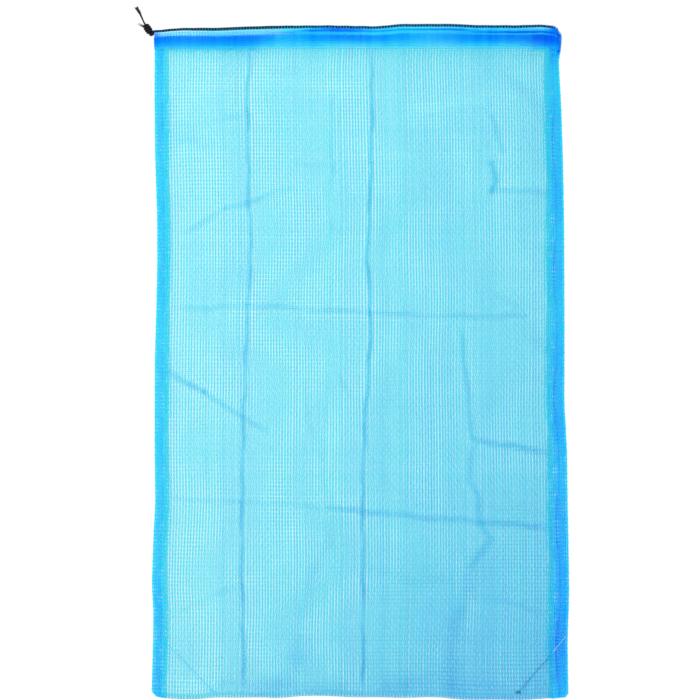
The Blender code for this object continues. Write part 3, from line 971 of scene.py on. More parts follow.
@dataclass
class Hem:
    """The turned hem of one side, wrapped over the drawstring.

    Attributes:
        form: The sheet's shape.
        shares: Where the lengthwise pairs lie.
        weave: The tapes' sizes.
        seed: Picks the small faults.
    """

    form: SheetForm
    shares: Array
    weave: Weave
    seed: int

    # The channel round the cord, and the rows of the hem's path.
    BORE = 0.00175
    MIDDLE = 0.00205
    DEPTH = 0.0290
    TURNED_FROM = 17
    EDGE_PITCH = 0.0028
    RAGGED_ROWS = 2
    EDGE_ROWS = slice(13, 15)
    OUTER_ROWS = slice(0, 12)
    OUTER_WEFTS = slice(1, 11)
    TURNED_ROWS = slice(TURNED_FROM, None)
    # Where the allowance frays, below the stitches, and how deep each zone's colour is.
    FRAY_FROM = 0.0085
    FRAY_SHARE = 0.75
    LIP_TONE = 0.60
    LEFT_TONE = 0.55
    RIGHT_TONE = 0.74
    PALE_TONE = 0.04
    # How the allowance varies in length, colour and width.
    LONGER_LEFT = 0.17
    LONGER_RIGHT = 0.14
    RAGGED = 0.0016
    TONE_FAULT = 0.04
    WIDTH_BY_TONE = 0.80
    AIRY = 0.50
    FRAYED = 0.92
    VEIL = 0.40
    WEFT_WIDTH = 0.95

    def section(self) -> tuple[Array, Array]:
        """The hem's path, as distance down from the mouth and in from the face."""
        turns = np.linspace(math.pi / 2, -math.pi / 2, 5)
        outer = np.array([29.0, 26.2, 23.4, 20.6, 17.8, 15.4, 13.2, 11.0, 9.0, 7.0, 5.2, 3.8])
        inner = np.array([4.8, 6.6, 8.6, 10.4, 12.0, 14.0, 16.0, 18.2, 20.4, 22.6, 24.8, 27.0])
        deep = np.array([4.0, 3.8, 3.2, 2.2, 1.0, 0.9, 0.9, 0.9, 0.9, 0.9, 0.9, 0.9])
        round_down = self.MIDDLE - self.BORE * np.cos(turns)
        round_in = self.MIDDLE - self.BORE * np.sin(turns)
        down = np.concatenate([outer * MILLI, round_down, inner * MILLI])
        inward = np.concatenate([np.full(len(outer), 0.0002), round_in, deep * MILLI])
        return down, inward

    def place(self, x: Array, down: Array, inward: Array) -> Array:
        """A point of the hem.

        Args:
            x: Places across the bag.
            down: Distance down from the mouth.
            inward: Distance in from the outer face.

        Returns:
            The points, with XYZ last.
        """
        mouth = self.form.mouth(x)
        tube = self.MIDDLE * 2
        room = (mouth - self.form.bag.hem_foot - tube) / (self.DEPTH - tube)
        y = mouth - np.where(down > tube, tube + (down - tube) * room, down)
        face = self.form.height(x, np.minimum(y, self.form.bag.top))
        turn = -1.0 if self.form.side is Side.FRONT else 1.0
        return np.stack([x, y, face + turn * inward], axis=-1)

    def row(self, x: Array) -> Array:
        """How far below the mouth the hem is stitched down."""
        run = x - self.form.bag.left
        return 0.0098 + 0.0013 * ease(run / 0.055) + 0.0009 * ease(run / 0.40)

    def tone(self, x: Array, down: Array) -> Array:
        """Colour depth in the hem: light over the channel, deep in the allowance.

        Args:
            x: Places across the bag.
            down: Distance down from the mouth.

        Returns:
            The depth, from 0 to 1.
        """
        row = self.row(x)
        below = ease((down - row + 0.0014) / 0.0024)
        kept = 1.0 - self.thinning(x, down)
        allowance = self.PALE_TONE + (ALLOWANCE_DEPTH.at(x) - self.PALE_TONE) * kept
        middle = UNDER_EDGE.at(x)
        broad = 0.0011 + 0.0014 * np.exp(-(((x + 0.026) / 0.030) ** 2))
        edge = EDGE_DEPTH.at(x) * np.exp(-(((down - middle) / broad) ** 2))
        lip = self.LIP_TONE * np.exp(-(((down - 0.0006) / 0.0020) ** 2))
        left = ease(1.0 - (x - self.form.bag.left) / 0.010)
        right = ease(1.0 - (self.form.bag.hem_right - x) / 0.020)
        base = self.PALE_TONE + 0.14 * ease((x - 0.08) / 0.06)
        channel = base + edge + lip + self.LEFT_TONE * left + self.RIGHT_TONE * right
        return np.clip(channel * (1 - below) + allowance * below, 0, 1)

    def thinning(self, x: Array, down: Array) -> Array:
        """How far the allowance's colour has faded to the panel's, from 0 to 1."""
        return ease((down - self.row(x) - 0.0026) / ALLOWANCE_FOOT.at(x))

    def columns(self) -> Array:
        """Where the lengthwise pairs lie, past the panel's at both ends."""
        bag = self.form.bag
        foot = np.array(bag.hem_foot)
        start, end = float(self.form.inner_left(foot)), float(self.form.inner_right(foot))
        panel = start + (end - start) * self.shares
        before = np.arange(bag.left + 0.0008, panel[0] - 0.0012, self.EDGE_PITCH)
        after = np.arange(panel[-1] + self.EDGE_PITCH, bag.hem_right, self.EDGE_PITCH)
        return np.concatenate([before, panel, after])

    def widths(self, x: Array, down: Array, turned: Array) -> Array:
        """Width factor of the tapes: wide where they are deep, narrow where they fray.

        Args:
            x: Places across the bag.
            down: Distance down from the mouth.
            turned: True for the rows of the turned allowance.

        Returns:
            The factor at each crossing.
        """
        width = 1.0 + self.WIDTH_BY_TONE * np.clip(self.tone(x, down), 0, 1)
        airy = ease(1.0 - (x + 0.11) / 0.05) * ease(1.0 - (down - self.row(x)) / 0.002)
        width = width * (1 - self.AIRY * airy)
        reach = self.FRAY_SHARE * ALLOWANCE_FOOT.at(x)
        frayed = self.FRAYED * ease((down - (self.row(x) + self.FRAY_FROM)) / reach)
        return width * np.where(turned, 1.0 - frayed, 1.0)

    def build(self, finish: YarnFinish) -> Piece:
        """Weave the hem.

        Args:
            finish: The tapes' finish.

        Returns:
            The hem's mesh.
        """
        side = self.form.side.value
        down, inward = self.section()
        x, d = np.meshgrid(self.columns(), down, indexing="ij")
        draw = np.random.RandomState(self.seed)
        ragged = draw.normal(0, self.RAGGED, (len(x), 1))
        rows = np.arange(len(down))
        d = d + np.where(rows >= len(down) - self.RAGGED_ROWS, ragged, 0.0)
        turned = rows >= self.TURNED_FROM
        longer = self.LONGER_LEFT * ease(1.0 - (x + 0.14) / 0.04)
        longer = longer + self.LONGER_RIGHT * ease((x - 0.20) / 0.02)
        d = d * (1 + longer * turned)
        grid = self.place(x, d, np.broadcast_to(inward, x.shape))
        depth = self.tone(x, d) + draw.normal(0, self.TONE_FAULT, (len(x), 1))
        width = self.widths(x, d, turned)
        veil = 1.0 - self.VEIL * np.exp(-(((d - 0.0012) / 0.0024) ** 2)) * ~turned
        hint = 0.34 + 0.16 * ease(x / 0.10)
        bundle = TapeBundle()
        for kind, stretch, factor in (
            (Tape.STANDING, slice(None), veil),
            (Tape.WEFT, self.EDGE_ROWS, hint),
            (Tape.CROSSING, self.OUTER_ROWS, 1.0),
            (Tape.CROSSING, self.TURNED_ROWS, 1.0),
            (Tape.WEFT, self.OUTER_WEFTS, self.WEFT_WIDTH),
            (Tape.WEFT, self.TURNED_ROWS, self.WEFT_WIDTH),
        ):
            size = (width * factor)[:, stretch]
            self.weave.lay(bundle, kind, grid[:, stretch], size, depth[:, stretch])
        return hand_over(bundle, f"{side}_hem_mesh", finish, f"{side}_hem")


@dataclass
class HemTurn:
    """The hem's turn round the right edge of the mouth.

    Attributes:
        form: The front sheet's form.
        weave: The tapes' sizes.
    """

    form: SheetForm
    weave: Weave

    SKIN = 0.0004
    DOWNS = (0.0290, 0.0250, 0.0210, 0.0170, 0.0130, 0.0090, 0.0050, 0.0022, 0.0006)
    WEFT_ROWS = slice(0, 6)
    WEFT_WIDTH = 1.6

    def build(self, finish: YarnFinish) -> Piece:
        """Weave the turn.

        Args:
            finish: The tapes' finish.

        Returns:
            The turn's mesh.
        """
        bag = self.form.bag
        start = bag.hem_right - self.SKIN
        radius = bag.fold_radius - self.SKIN
        turns = np.linspace(-math.pi / 2, math.pi / 2, 9)
        turn, down = np.meshgrid(turns, np.array(self.DOWNS), indexing="ij")
        bulge = 1.0 + 0.18 * np.sin(down * 150.0)
        closing = 1.0 - 0.75 * ease((0.0040 - down) / 0.0040)
        x = start + radius * np.cos(turn) * bulge * closing
        y = self.form.mouth(np.full(turn.shape, bag.hem_right)) - down
        y = y - 0.0030 * np.cos(turn) * ease((0.012 - down) / 0.012)
        z = bag.fold_radius + radius * np.sin(turn) * (0.6 + 0.4 * closing)
        grid = np.stack([x, y, z], axis=-1)
        bundle = TapeBundle()
        width = 1.9 - 1.25 * ease((0.0105 - down) / 0.0035)
        depth = np.clip(1.0 - 0.46 * np.cos(turn), 0, 1)
        rows = self.WEFT_ROWS
        self.weave.lay(bundle, Tape.CROSSING, grid, width, depth)
        self.weave.lay(bundle, Tape.STANDING, grid, width, depth)
        size = width[:, rows] * self.WEFT_WIDTH
        self.weave.lay(bundle, Tape.WEFT, grid[:, rows], size, depth[:, rows])
        return hand_over(bundle, "right_hem_turn_mesh", finish, "right_hem_turn")


# Colour depth along the left seam.
LEFT_BAND = EdgeLine(
    (
        -0.40, -0.37, -0.34, -0.31, -0.25, -0.19, -0.16, -0.13, -0.10, -0.04, 0.0, 0.10, 0.20,
        0.30, 0.37,
    ),
    (0.30, 0.27, 0.22, 0.21, 0.20, 0.14, 0.17, 0.12, 0.04, 0.04, 0.14, 0.10, 0.12, 0.15, 0.16),
)
# Colour depth along the right seam.
RIGHT_BAND = EdgeLine(
    (-0.40, -0.37, -0.34, -0.31, -0.28, -0.20, -0.10, 0.0, 0.10, 0.20, 0.30, 0.35, 0.375),
    (0.52, 0.62, 0.76, 0.70, 0.49, 0.46, 0.42, 0.37, 0.32, 0.31, 0.31, 0.22, 0.48),
)


@dataclass
class SideSeam:
    """A side seam: both selvedges laid together, folded and overlocked.

    Attributes:
        name: "left" or "right".
        form: The front sheet's form.
        weave: The tapes' sizes.
        tones: Colour depth in the band's middle, along the bag.
        seed: Picks the small faults.
    """

    name: str
    form: SheetForm
    weave: Weave
    tones: EdgeLine
    seed: int

    TAPES = 9
    LAYERS = 3
    LAP = 0.0017
    RETREAT = 0.25
    UNDERSIDE = 0.0006
    RAW_EDGE = 0.0020
    WEFT_PITCH = 0.0046
    UNEVEN = 0.10
    UNEVEN_STEP = 0.08
    WIDTH_FAULT = 0.08
    TONE_FAULT = 0.05
    BASE_TONE = 0.02
    SPANS = {"left": (0.40, 0.32), "right": (0.42, 0.42)}

    def edges(self, y: Array) -> tuple[Array, Array]:
        """The band's outer and inner edges at each place along it."""
        if self.name == "left":
            return self.form.left(y), self.form.inner_left(y) + self.LAP
        return self.form.right(y), self.form.inner_right(y) - self.LAP

    def face(self, share: Array, level: Array | float) -> Array:
        """Height of the band.

        Args:
            share: 0 at the outer edge, 1 where it meets the panels.
            level: 0 for the underside, 1 for the upper side.

        Returns:
            The height above the floor.
        """
        bag = self.form.bag
        upper = self.RAW_EDGE + (bag.edge_height - self.RAW_EDGE) * np.clip(share, 0, 1) ** 1.5
        return self.UNDERSIDE + (upper - self.UNDERSIDE) * level

    def band_tone(self, share: Array, y: Array) -> Array:
        """Colour depth over the band: patchy, deepest a little way in from its edge."""
        peak, span = self.SPANS[self.name]
        middle = np.exp(-np.abs((share - peak) / span) ** 2.6)
        patches = 0.09 * np.sin(y * 47.0 + self.seed) * np.sin(y * 19.0 + 0.6)
        return (self.tones.at(y) + patches) * middle - self.BASE_TONE

    def build(self, finish: YarnFinish) -> Piece:
        """Weave the band's layers.

        Args:
            finish: The tapes' finish.

        Returns:
            The band's mesh.
        """
        bag = self.form.bag
        draw = np.random.RandomState(self.seed)
        bundle = TapeBundle()
        places = np.arange(bag.bottom + 0.0004, bag.hem_foot + 0.004, self.WEFT_PITCH)
        places[0] = bag.bottom + 0.0006
        for layer in range(self.LAYERS):
            level = layer / (self.LAYERS - 1)
            shares = (np.arange(self.TAPES) + 0.3) / (self.TAPES - 0.4)
            s, y = np.meshgrid(shares, places, indexing="ij")
            outer, inner = self.edges(y)
            reach = np.maximum(np.sin(y * 41.0 + layer * 1.7), -self.RETREAT)
            inner = inner + (inner - outer) * (self.UNEVEN + self.UNEVEN_STEP * layer) * reach
            wobble = 0.0003 * np.sin(y * 260.0 + layer * 2.1) * (1 - s)
            x = outer + (inner - outer) * s + wobble
            y = self.form.settle(x, y)
            z = self.face(s, level) + 0.0002 * np.sin(y * 310.0 + s * 5.0)
            order = slice(None) if self.name == "left" else slice(None, None, -1)
            grid = np.stack([x, y, z], axis=-1)[order]
            share = s[order]
            spacing = abs(float(inner.mean() - outer.mean())) / self.TAPES
            tone = self.band_tone(share, grid[..., 1])
            width = spacing / self.weave.warp_width * (0.74 + 0.35 * np.clip(tone, 0, 1))
            width *= 1 - 0.45 * ease((share - 0.62) / 0.38)
            width *= 1 + draw.normal(0, self.WIDTH_FAULT, (len(grid), 1))
            tone = tone + draw.normal(0, self.TONE_FAULT, (len(grid), 1))
            self.weave.lay_all(bundle, grid, width, tone, 0.9 + 0.4 * tone)
        return hand_over(bundle, f"{self.name}_seam_mesh", finish, f"{self.name}_side_seam")


def smooth_line(points: Array, count: int) -> Array:
    """A smooth line through a few points, with evenly spaced places on it.

    Args:
        points: The points that it passes through.
        count: How many places to return.

    Returns:
        The places, one row each.
    """
    p = np.asarray(points, float)
    p = np.concatenate([2 * p[:1] - p[1:2], p, 2 * p[-1:] - p[-2:-1]])
    fine = []
    for i in range(1, len(p) - 2):
        t = np.linspace(0, 1, 24, endpoint=False)[:, None]
        a, b, c, d = p[i - 1], p[i], p[i + 1], p[i + 2]
        bend = 2 * b + (c - a) * t + (2 * a - 5 * b + 4 * c - d) * t**2
        fine.append(0.5 * (bend + (3 * b - 3 * c + d - a) * t**3))
    line = np.concatenate(fine + [p[-2:-1]])
    run = np.concatenate([[0], np.cumsum(np.linalg.norm(np.diff(line, axis=0), axis=1))])
    even = np.linspace(0, run[-1], count)
    return np.stack([np.interp(even, run, line[:, k]) for k in range(3)], axis=1)


@dataclass
class TubeBundle:
    """Round threads or cords gathered into one mesh.

    Attributes:
        points: Blocks of points.
        faces: Blocks of faces.
        count: Points so far.
    """

    points: list[Array] = field(default_factory=list)
    faces: list[Array] = field(default_factory=list)
    count: int = 0

    TIP = 0.4
    TIP_WIDTH = 0.12

    def add(self, line: Array, radius: float | Array, sides: int = 6, braid: float = 0.0) -> None:
        """Add a tube along a line, with its ends drawn to a tip.

        Args:
            line: The middle line's points.
            radius: Radius, the same all along or one for each point.
            sides: Points round the tube.
            braid: Depth of a braid's relief, as a share of the radius.
        """
        count = len(line)
        along = unit(np.gradient(line, axis=0))
        side = np.empty_like(line)
        start = UP if abs(along[0] @ UP) < 0.9 else np.array([1.0, 0.0, 0.0])
        side[0] = unit(np.cross(along[0], start))
        for i in range(1, count):
            turned = side[i - 1] - along[i] * (side[i - 1] @ along[i])
            side[i] = unit(turned)
        other = np.cross(along, side)
        turn = np.arange(sides) * 2 * math.pi / sides
        size = np.broadcast_to(radius, (count,)).astype(float)[:, None] * np.ones((1, sides))
        if braid:
            run = np.concatenate([[0], np.cumsum(np.linalg.norm(np.diff(line, axis=0), axis=1))])
            phase = run[:, None] / np.broadcast_to(radius, (count,))[:, None] * 1.15
            weave = np.maximum(np.sin(4 * turn + phase * 1.6), np.sin(4 * turn - phase * 1.6))
            size = size * (1 - braid + braid * weave)
        ring = side[:, None] * np.cos(turn)[None, :, None]
        ring = ring + other[:, None] * np.sin(turn)[None, :, None]
        body = line[:, None] + ring * size[..., None]
        first = line[:1, None] - along[:1, None] * size[:1, :1, None] * self.TIP
        first = first + ring[:1] * size[:1, :, None] * self.TIP_WIDTH
        last = line[-1:, None] + along[-1:, None] * size[-1:, :1, None] * self.TIP
        last = last + ring[-1:] * size[-1:, :, None] * self.TIP_WIDTH
        body = np.concatenate([first, body, last])
        number = np.arange(body.shape[0] * sides).reshape(-1, sides) + self.count
        after = np.roll(number, -1, axis=1)
        block = np.stack([number[:-1], after[:-1], after[1:], number[1:]], axis=-1)
        self.points.append(body.reshape(-1, 3))
        self.faces.append(block.reshape(-1, 4))
        for cap, flip in ((number[0], True), (number[-1], False)):
            order = cap[::-1] if flip else cap
            for k in range(1, sides - 2, 2):
                self.faces.append(order[[0, k, k + 1, k + 2]][None])
        self.count += body.shape[0] * sides

    def finish(self, name: str) -> Piece:
        """The bundle as one mesh object."""
        return make_mesh(name, np.concatenate(self.points), np.concatenate(self.faces))


@dataclass
class StitchRow:
    """A row of lockstitches lying on the sheet.

    Attributes:
        name: The piece's name.
        route: The row's points on the surface.
        node: The CAD node that it stands for.
        length: One stitch's length.
        gap: The hole between two stitches.
        thickness: The thread's diameter.
        tacks: Stitches sewn over each other where the row ends.
    """

    name: str
    route: Array
    node: str
    length: float = 0.0034
    gap: float = 0.0005
    thickness: float = 0.00065
    tacks: int = 0

    TACK_LENGTH = 0.0080
    TACK_TURN = 2.4

    def build(self, finish: ThreadFinish) -> Piece:
        """Sew the row.

        Args:
            finish: The thread's finish.

        Returns:
            The row's mesh.
        """
        steps = np.linalg.norm(np.diff(self.route, axis=0), axis=1)
        run = np.concatenate([[0], np.cumsum(steps)])
        count = int(run[-1] / (self.length + self.gap))
        bundle = TubeBundle()
        for k in range(count):
            start = k * (self.length + self.gap)
            at = start + np.linspace(0, self.length, 6)
            line = np.stack([np.interp(at, run, self.route[:, c]) for c in range(3)], axis=1)
            arch = np.sin(np.linspace(0, math.pi, 6))
            line[:, 2] += 0.00035 * arch - 0.0001
            line[:, 1] += 0.00012 * math.sin(k * 2.4)
            bundle.add(line, self.thickness / 2 * (0.65 + 0.35 * arch), sides=6)
        for k in range(self.tacks):
            turn = k * self.TACK_TURN
            reach = self.TACK_LENGTH / 2 * (1 - 0.4 * (k % 3) / 2)
            along = np.array([math.cos(turn), 0.6 * math.sin(turn), 0.0])
            step = np.linspace(-1, 1, 7)
            line = self.route[-1] + along * step[:, None] * reach
            line[:, 2] += 0.0002 + 0.0001 * k + 0.0003 * (1 - step**2)
            bundle.add(line, self.thickness / 2, sides=6)
        return hand_over(bundle, self.name, finish, self.node)


@dataclass
class Overlock:
    """The overlock thread that closes a side seam's raw edge.

    Attributes:
        seam: The seam that it runs along.
        pitch: Distance between two loops.
    """

    seam: SideSeam
    pitch: float = 0.0040

    def build(self, finish: ThreadFinish) -> Piece:
        """Sew the zigzag and the straight needle row.

        Args:
            finish: The thread's finish.

        Returns:
            The thread's mesh.
        """
        bag = self.seam.form.bag
        y = np.arange(bag.bottom + 0.010, bag.hem_foot - 0.001, self.pitch / 4)
        phase = np.arange(len(y)) % 4
        share = np.choose(phase, [0.02, 0.38, 0.70, 0.36]).astype(float)
        outer, inner = self.seam.edges(y)
        x = outer + (inner - outer) * share
        z = self.seam.face(share, 1.0) + 0.0006
        z = np.where(phase == 0, 0.0018, z)
        bundle = TubeBundle()
        bundle.add(np.stack([x, y, z], axis=-1), 0.00022, sides=4)
        needle = outer + (inner - outer) * 0.72
        straight = np.stack([needle, y, self.seam.face(np.full(y.shape, 0.72), 1.0) + 0.0007], -1)
        bundle.add(straight, 0.00028, sides=4)
        side = self.seam.name
        return hand_over(bundle, f"{side}_seam_overlock", finish, f"{side}_seam_stitching")


@dataclass
class WeftEnds:
    """Loose ends of the crosswise tapes that stick out of the right seam.

    Attributes:
        seam: The right seam.
        seed: Picks their lengths.
    """

    seam: SideSeam
    seed: int = 51

    def build(self, finish: YarnFinish) -> Piece:
        """Lay the loose ends.

        Args:
            finish: The tapes' finish.

        Returns:
            The ends' mesh.
        """
        draw = np.random.RandomState(self.seed)
        low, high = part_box("right_weft_ends")
        bundle = TapeBundle()
        for y in np.arange(low.y, high.y, 0.0023):
            root = float(self.seam.form.right(np.array(y)))
            reach = draw.uniform(0.0012, 0.0046)
            lean = draw.normal(0, 0.35)
            t = np.linspace(0, 1, 4)
            x = root - 0.0015 + (reach + 0.0015) * t
            z = 0.0014 + 0.0010 * t * draw.uniform(-0.8, 1)
            line = np.stack([x, y + lean * reach * t**2, z], -1)
            across = np.tile([0.0, 1.0, 0.0], (1, 4, 1))
            out = np.tile(UP, (1, 4, 1))
            width = np.array([[0.0009, 0.0008, 0.0006, 0.0003]])
            bundle.add(line[None], across, out, width, np.full((1, 4), 0.28))
        return hand_over(bundle, "right_weft_end_fringe", finish, "right_weft_ends")


@dataclass
class Drawstring:
    """The braided drawstring, its knot and its two cut ends.

    Attributes:
        front: The front sheet's form.
        back: The back sheet's form.
        diameter: The cord's diameter.
    """

    front: SheetForm
    back: SheetForm
    diameter: float = 0.0025

    MIDDLE = 0.00215
    DROP = 0.0060
    REACH = 0.0125
    BRAID = 0.10
    SQUEEZE = 1.04
    KNOT_TILT = 124.0
    LEAD = ((-7.2, 1.0, 1.0), (-4.0, 1.1, 0.5), (3.0, 1.2, 0.4), (6.6, 1.9, 1.2))
    THROUGH = ((-7.4, -1.2, -1.4), (-4.0, -1.2, -0.6), (3.0, -1.1, -0.4), (8.6, -0.6, -0.4))
    SHORT_END = ((5.0, 2.0, -0.8), (8.6, 3.2, -1.6), (12.4, 5.4, -2.4), (15.4, 8.6, -3.2))

    def run(self, form: SheetForm, x: Array) -> Array:
        """The cord's middle line in one hem."""
        y = form.mouth(x) - self.MIDDLE + 0.0004
        turn = -1.0 if form.side is Side.FRONT else 1.0
        return np.stack([x, y, form.height(x, y) + turn * self.MIDDLE], axis=-1)

    def route(self) -> Array:
        """The whole cord's middle line, from exit to exit."""
        bag = self.front.bag
        x = np.linspace(bag.left - 0.0012, bag.hem_right - self.REACH, 90)
        front, back = self.run(self.front, x), self.run(self.back, x)
        share = np.linspace(0, 1, 7)[1:]
        bend_x = x[-1] + self.REACH * np.sin(share * math.pi / 2)
        sink = self.DROP * (1 - np.cos(share * math.pi / 2))
        down = self.run(self.front, bend_x)
        down[:, 1] -= sink
        rise = self.run(self.back, bend_x)
        rise[:, 1] -= sink
        turns = np.linspace(math.pi / 2, -math.pi / 2, 7)[1:-1]
        high, low = down[-1], rise[-1]
        radius = (high[2] - low[2]) / 2
        turn = np.stack(
            [
                high[0] + radius * np.cos(turns),
                np.linspace(high[1], low[1], 5) - 0.0024 * np.cos(turns),
                (high[2] + low[2]) / 2 + radius * np.sin(turns),
            ],
            axis=-1,
        )
        return np.concatenate([front, down, turn, rise[::-1], back[::-1]])

    def build_cord(self, finish: CordFinish) -> Piece:
        """Braid the cord inside the hem.

        Args:
            finish: The cord's finish.

        Returns:
            The cord's mesh.
        """
        line = smooth_line(self.route(), 1200)
        bundle = TubeBundle()
        bundle.add(line, self.diameter / 2, sides=16, braid=self.BRAID)
        return hand_over(bundle, "drawstring_braid", finish, "drawstring")

    def knot_frame(self) -> tuple[Array, Array, Array]:
        """The knot's middle, its long direction and its sideways direction."""
        low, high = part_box("drawstring_knot")
        centre = np.array((low + high) / 2)
        tilt = math.radians(self.KNOT_TILT)
        along = np.array([math.cos(tilt), math.sin(tilt), 0.0])
        return centre, along, np.array([-along[1], along[0], 0.0])

    def local(self, points: Sequence[tuple[float, float, float]]) -> Array:
        """Points given in millimetres along, across and above the knot, in the bag's frame."""
        centre, along, aside = self.knot_frame()
        p = np.array(points) * MILLI
        return centre + p[:, :1] * along + p[:, 1:2] * aside + p[:, 2:] * UP

    def build_knot(self, finish: CordFinish) -> Piece:
        """Tie the knot: two cords through the middle, one wrapped round both.

        Args:
            finish: The cord's finish.

        Returns:
            The knot's mesh.
        """
        route = self.route()
        front_exit, back_exit = route[0], route[-1]
        turns = np.linspace(0.6, 0.6 + 2 * math.pi * 3.4, 64)
        share = (turns - turns[0]) / (turns[-1] - turns[0])
        girth = 2.9 + 0.55 * np.sin(share * math.pi) + 0.15 * np.sin(share * 19.0)
        wraps = [
            (5.9 - 9.6 * s + 1.0 * math.sin(a), g * math.cos(a), g * 0.88 * math.sin(a))
            for s, g, a in zip(share, girth, turns)
        ]
        wrapping = np.concatenate([front_exit[None], self.local(self.LEAD), self.local(wraps)])
        through = np.concatenate([back_exit[None], self.local(self.THROUGH)])
        bundle = TubeBundle()
        for line, count in ((wrapping, 560), (through, 100)):
            radius = self.diameter / 2 * self.SQUEEZE
            bundle.add(smooth_line(line, count), radius, sides=14, braid=self.BRAID)
        return hand_over(bundle, "drawstring_knot_wraps", finish, "drawstring_knot")

    def tail_line(self) -> Array:
        """The long tail's middle line, from inside the knot to its frayed end."""
        low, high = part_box("long_tail")
        tip = np.array([low.x + 0.0024, high.y - 0.0030, 0.0020])
        start = self.local([(0.5, -0.2, 0.3), (6.0, -0.3, 0.4)])
        middle = self.local([(11.0, -0.7, -0.6)])
        bend = middle[-1] * 0.45 + tip * 0.55 + np.array([0.0004, 0.0002, -0.0004])
        return smooth_line(np.concatenate([start, middle, bend[None], tip[None]]), 60)

    def build_tails(self, finish: CordFinish, worn: CordFinish) -> list[Piece]:
        """The two cut ends: one opens into thick strands, the other is frayed away.

        Args:
            finish: The cord's finish.
            worn: The finish of the loose fibres.

        Returns:
            The long tail, its opened strands, the short tail and the loose fibres.
        """
        line = self.tail_line()
        share = np.linspace(0, 1, len(line))
        neck = 0.16 * np.exp(-(((share - 0.42) / 0.10) ** 2))
        swell = 0.92 - neck - 0.10 * ease((share - 0.8) / 0.2)
        bundle = TubeBundle()
        bundle.add(line, self.diameter / 2 * swell, sides=12, braid=0.14)
        long_tail = bundle.finish("long_tail_braid")
        strands = self.build_strands(line)
        short_tail = self.build_wisp(smooth_line(self.local(self.SHORT_END), 30))
        fibres = self.build_fibres(line)
        for piece in (long_tail, strands):
            finish.dress(piece)
        for piece in (short_tail, fibres):
            worn.dress(piece)
        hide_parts("long_tail")
        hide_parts("short_tail")
        return [long_tail, strands, short_tail, fibres]

    @staticmethod
    def heading(line: Array, first: int = 0) -> tuple[Array, Array]:
        """A line's direction from one of its points to its end, and the way beside it."""
        way = unit(line[-1] - line[first])
        return way, np.cross(UP, way)

    @staticmethod
    def above(path: Array, floor: float) -> Array:
        """A path kept above the floor, and what touches it."""
        path[:, 2] = np.maximum(path[:, 2], floor)
        return path

    def build_strands(self, line: Array) -> Piece:
        """The braid's yarns, lying loose along the long tail's far half.

        Args:
            line: The long tail's middle line.

        Returns:
            The strands' mesh.
        """
        draw = np.random.RandomState(72)
        bundle = TubeBundle()
        for k in range(11):
            first = int(len(line) * draw.uniform(0.40, 0.55))
            path = line[first:].copy()
            share = np.linspace(0, 1, len(path))[:, None]
            heading, aside = self.heading(path)
            fan = (k - 5.0) / 5.0
            spread = 0.0009 * np.sin(share * math.pi * 0.62) * fan + 0.0011 * share**2 * fan
            path = path + aside * spread + UP * draw.uniform(-0.0005, 0.0005) * share
            path = path + heading * share**2 * (0.0012 + 0.0022 * abs(fan) * draw.rand())
            sizes = np.linspace(0.00052, 0.00020, len(path))
            bundle.add(self.above(path, 0.0006), sizes, sides=6, braid=0.12)
        return bundle.finish("long_tail_strands")

    def build_wisp(self, line: Array) -> Piece:
        """The short tail, frayed to a thin wisp of fibres.

        Args:
            line: The short tail's middle line.

        Returns:
            The wisp's mesh.
        """
        draw = np.random.RandomState(73)
        bundle = TubeBundle()
        _, aside = self.heading(line)
        for _ in range(22):
            share = np.linspace(0, 1, len(line))[:, None]
            sway = draw.normal(0, 0.0006) + draw.normal(0, 0.0011) * share
            reach = int(len(line) * draw.uniform(0.55, 1.0))
            path = (line + aside * sway + UP * draw.normal(0, 0.0003))[:reach:2]
            sizes = np.linspace(0.00018, 0.00008, len(path))
            bundle.add(self.above(path, 0.0004), sizes, sides=4)
        return bundle.finish("short_tail_wisp")

    def build_fibres(self, line: Array) -> Piece:
        """Loose fibres at the long tail's cut end.

        Args:
            line: The long tail's middle line.

        Returns:
            The fibres' mesh.
        """
        draw = np.random.RandomState(71)
        bundle = TubeBundle()
        heading, aside = self.heading(line, -8)
        for _ in range(34):
            at = int(draw.uniform(0.62, 1.0) * (len(line) - 1))
            root = line[at] + aside * draw.normal(0, 0.0008)
            turn = draw.normal(0, 0.34)
            way = heading * math.cos(turn) + aside * math.sin(turn)
            far = 0.0052 * draw.uniform(0.4, 1.0)
            curl = aside * draw.normal(0, 0.20) + UP * draw.normal(-0.05, 0.10)
            t = np.linspace(0, 1, 7)[:, None]
            strand = root + way * far * t + curl * far * t**2
            bundle.add(self.above(strand, 0.0004), np.linspace(0.00016, 0.00006, 7), sides=4)
        return bundle.finish("tail_fibres")


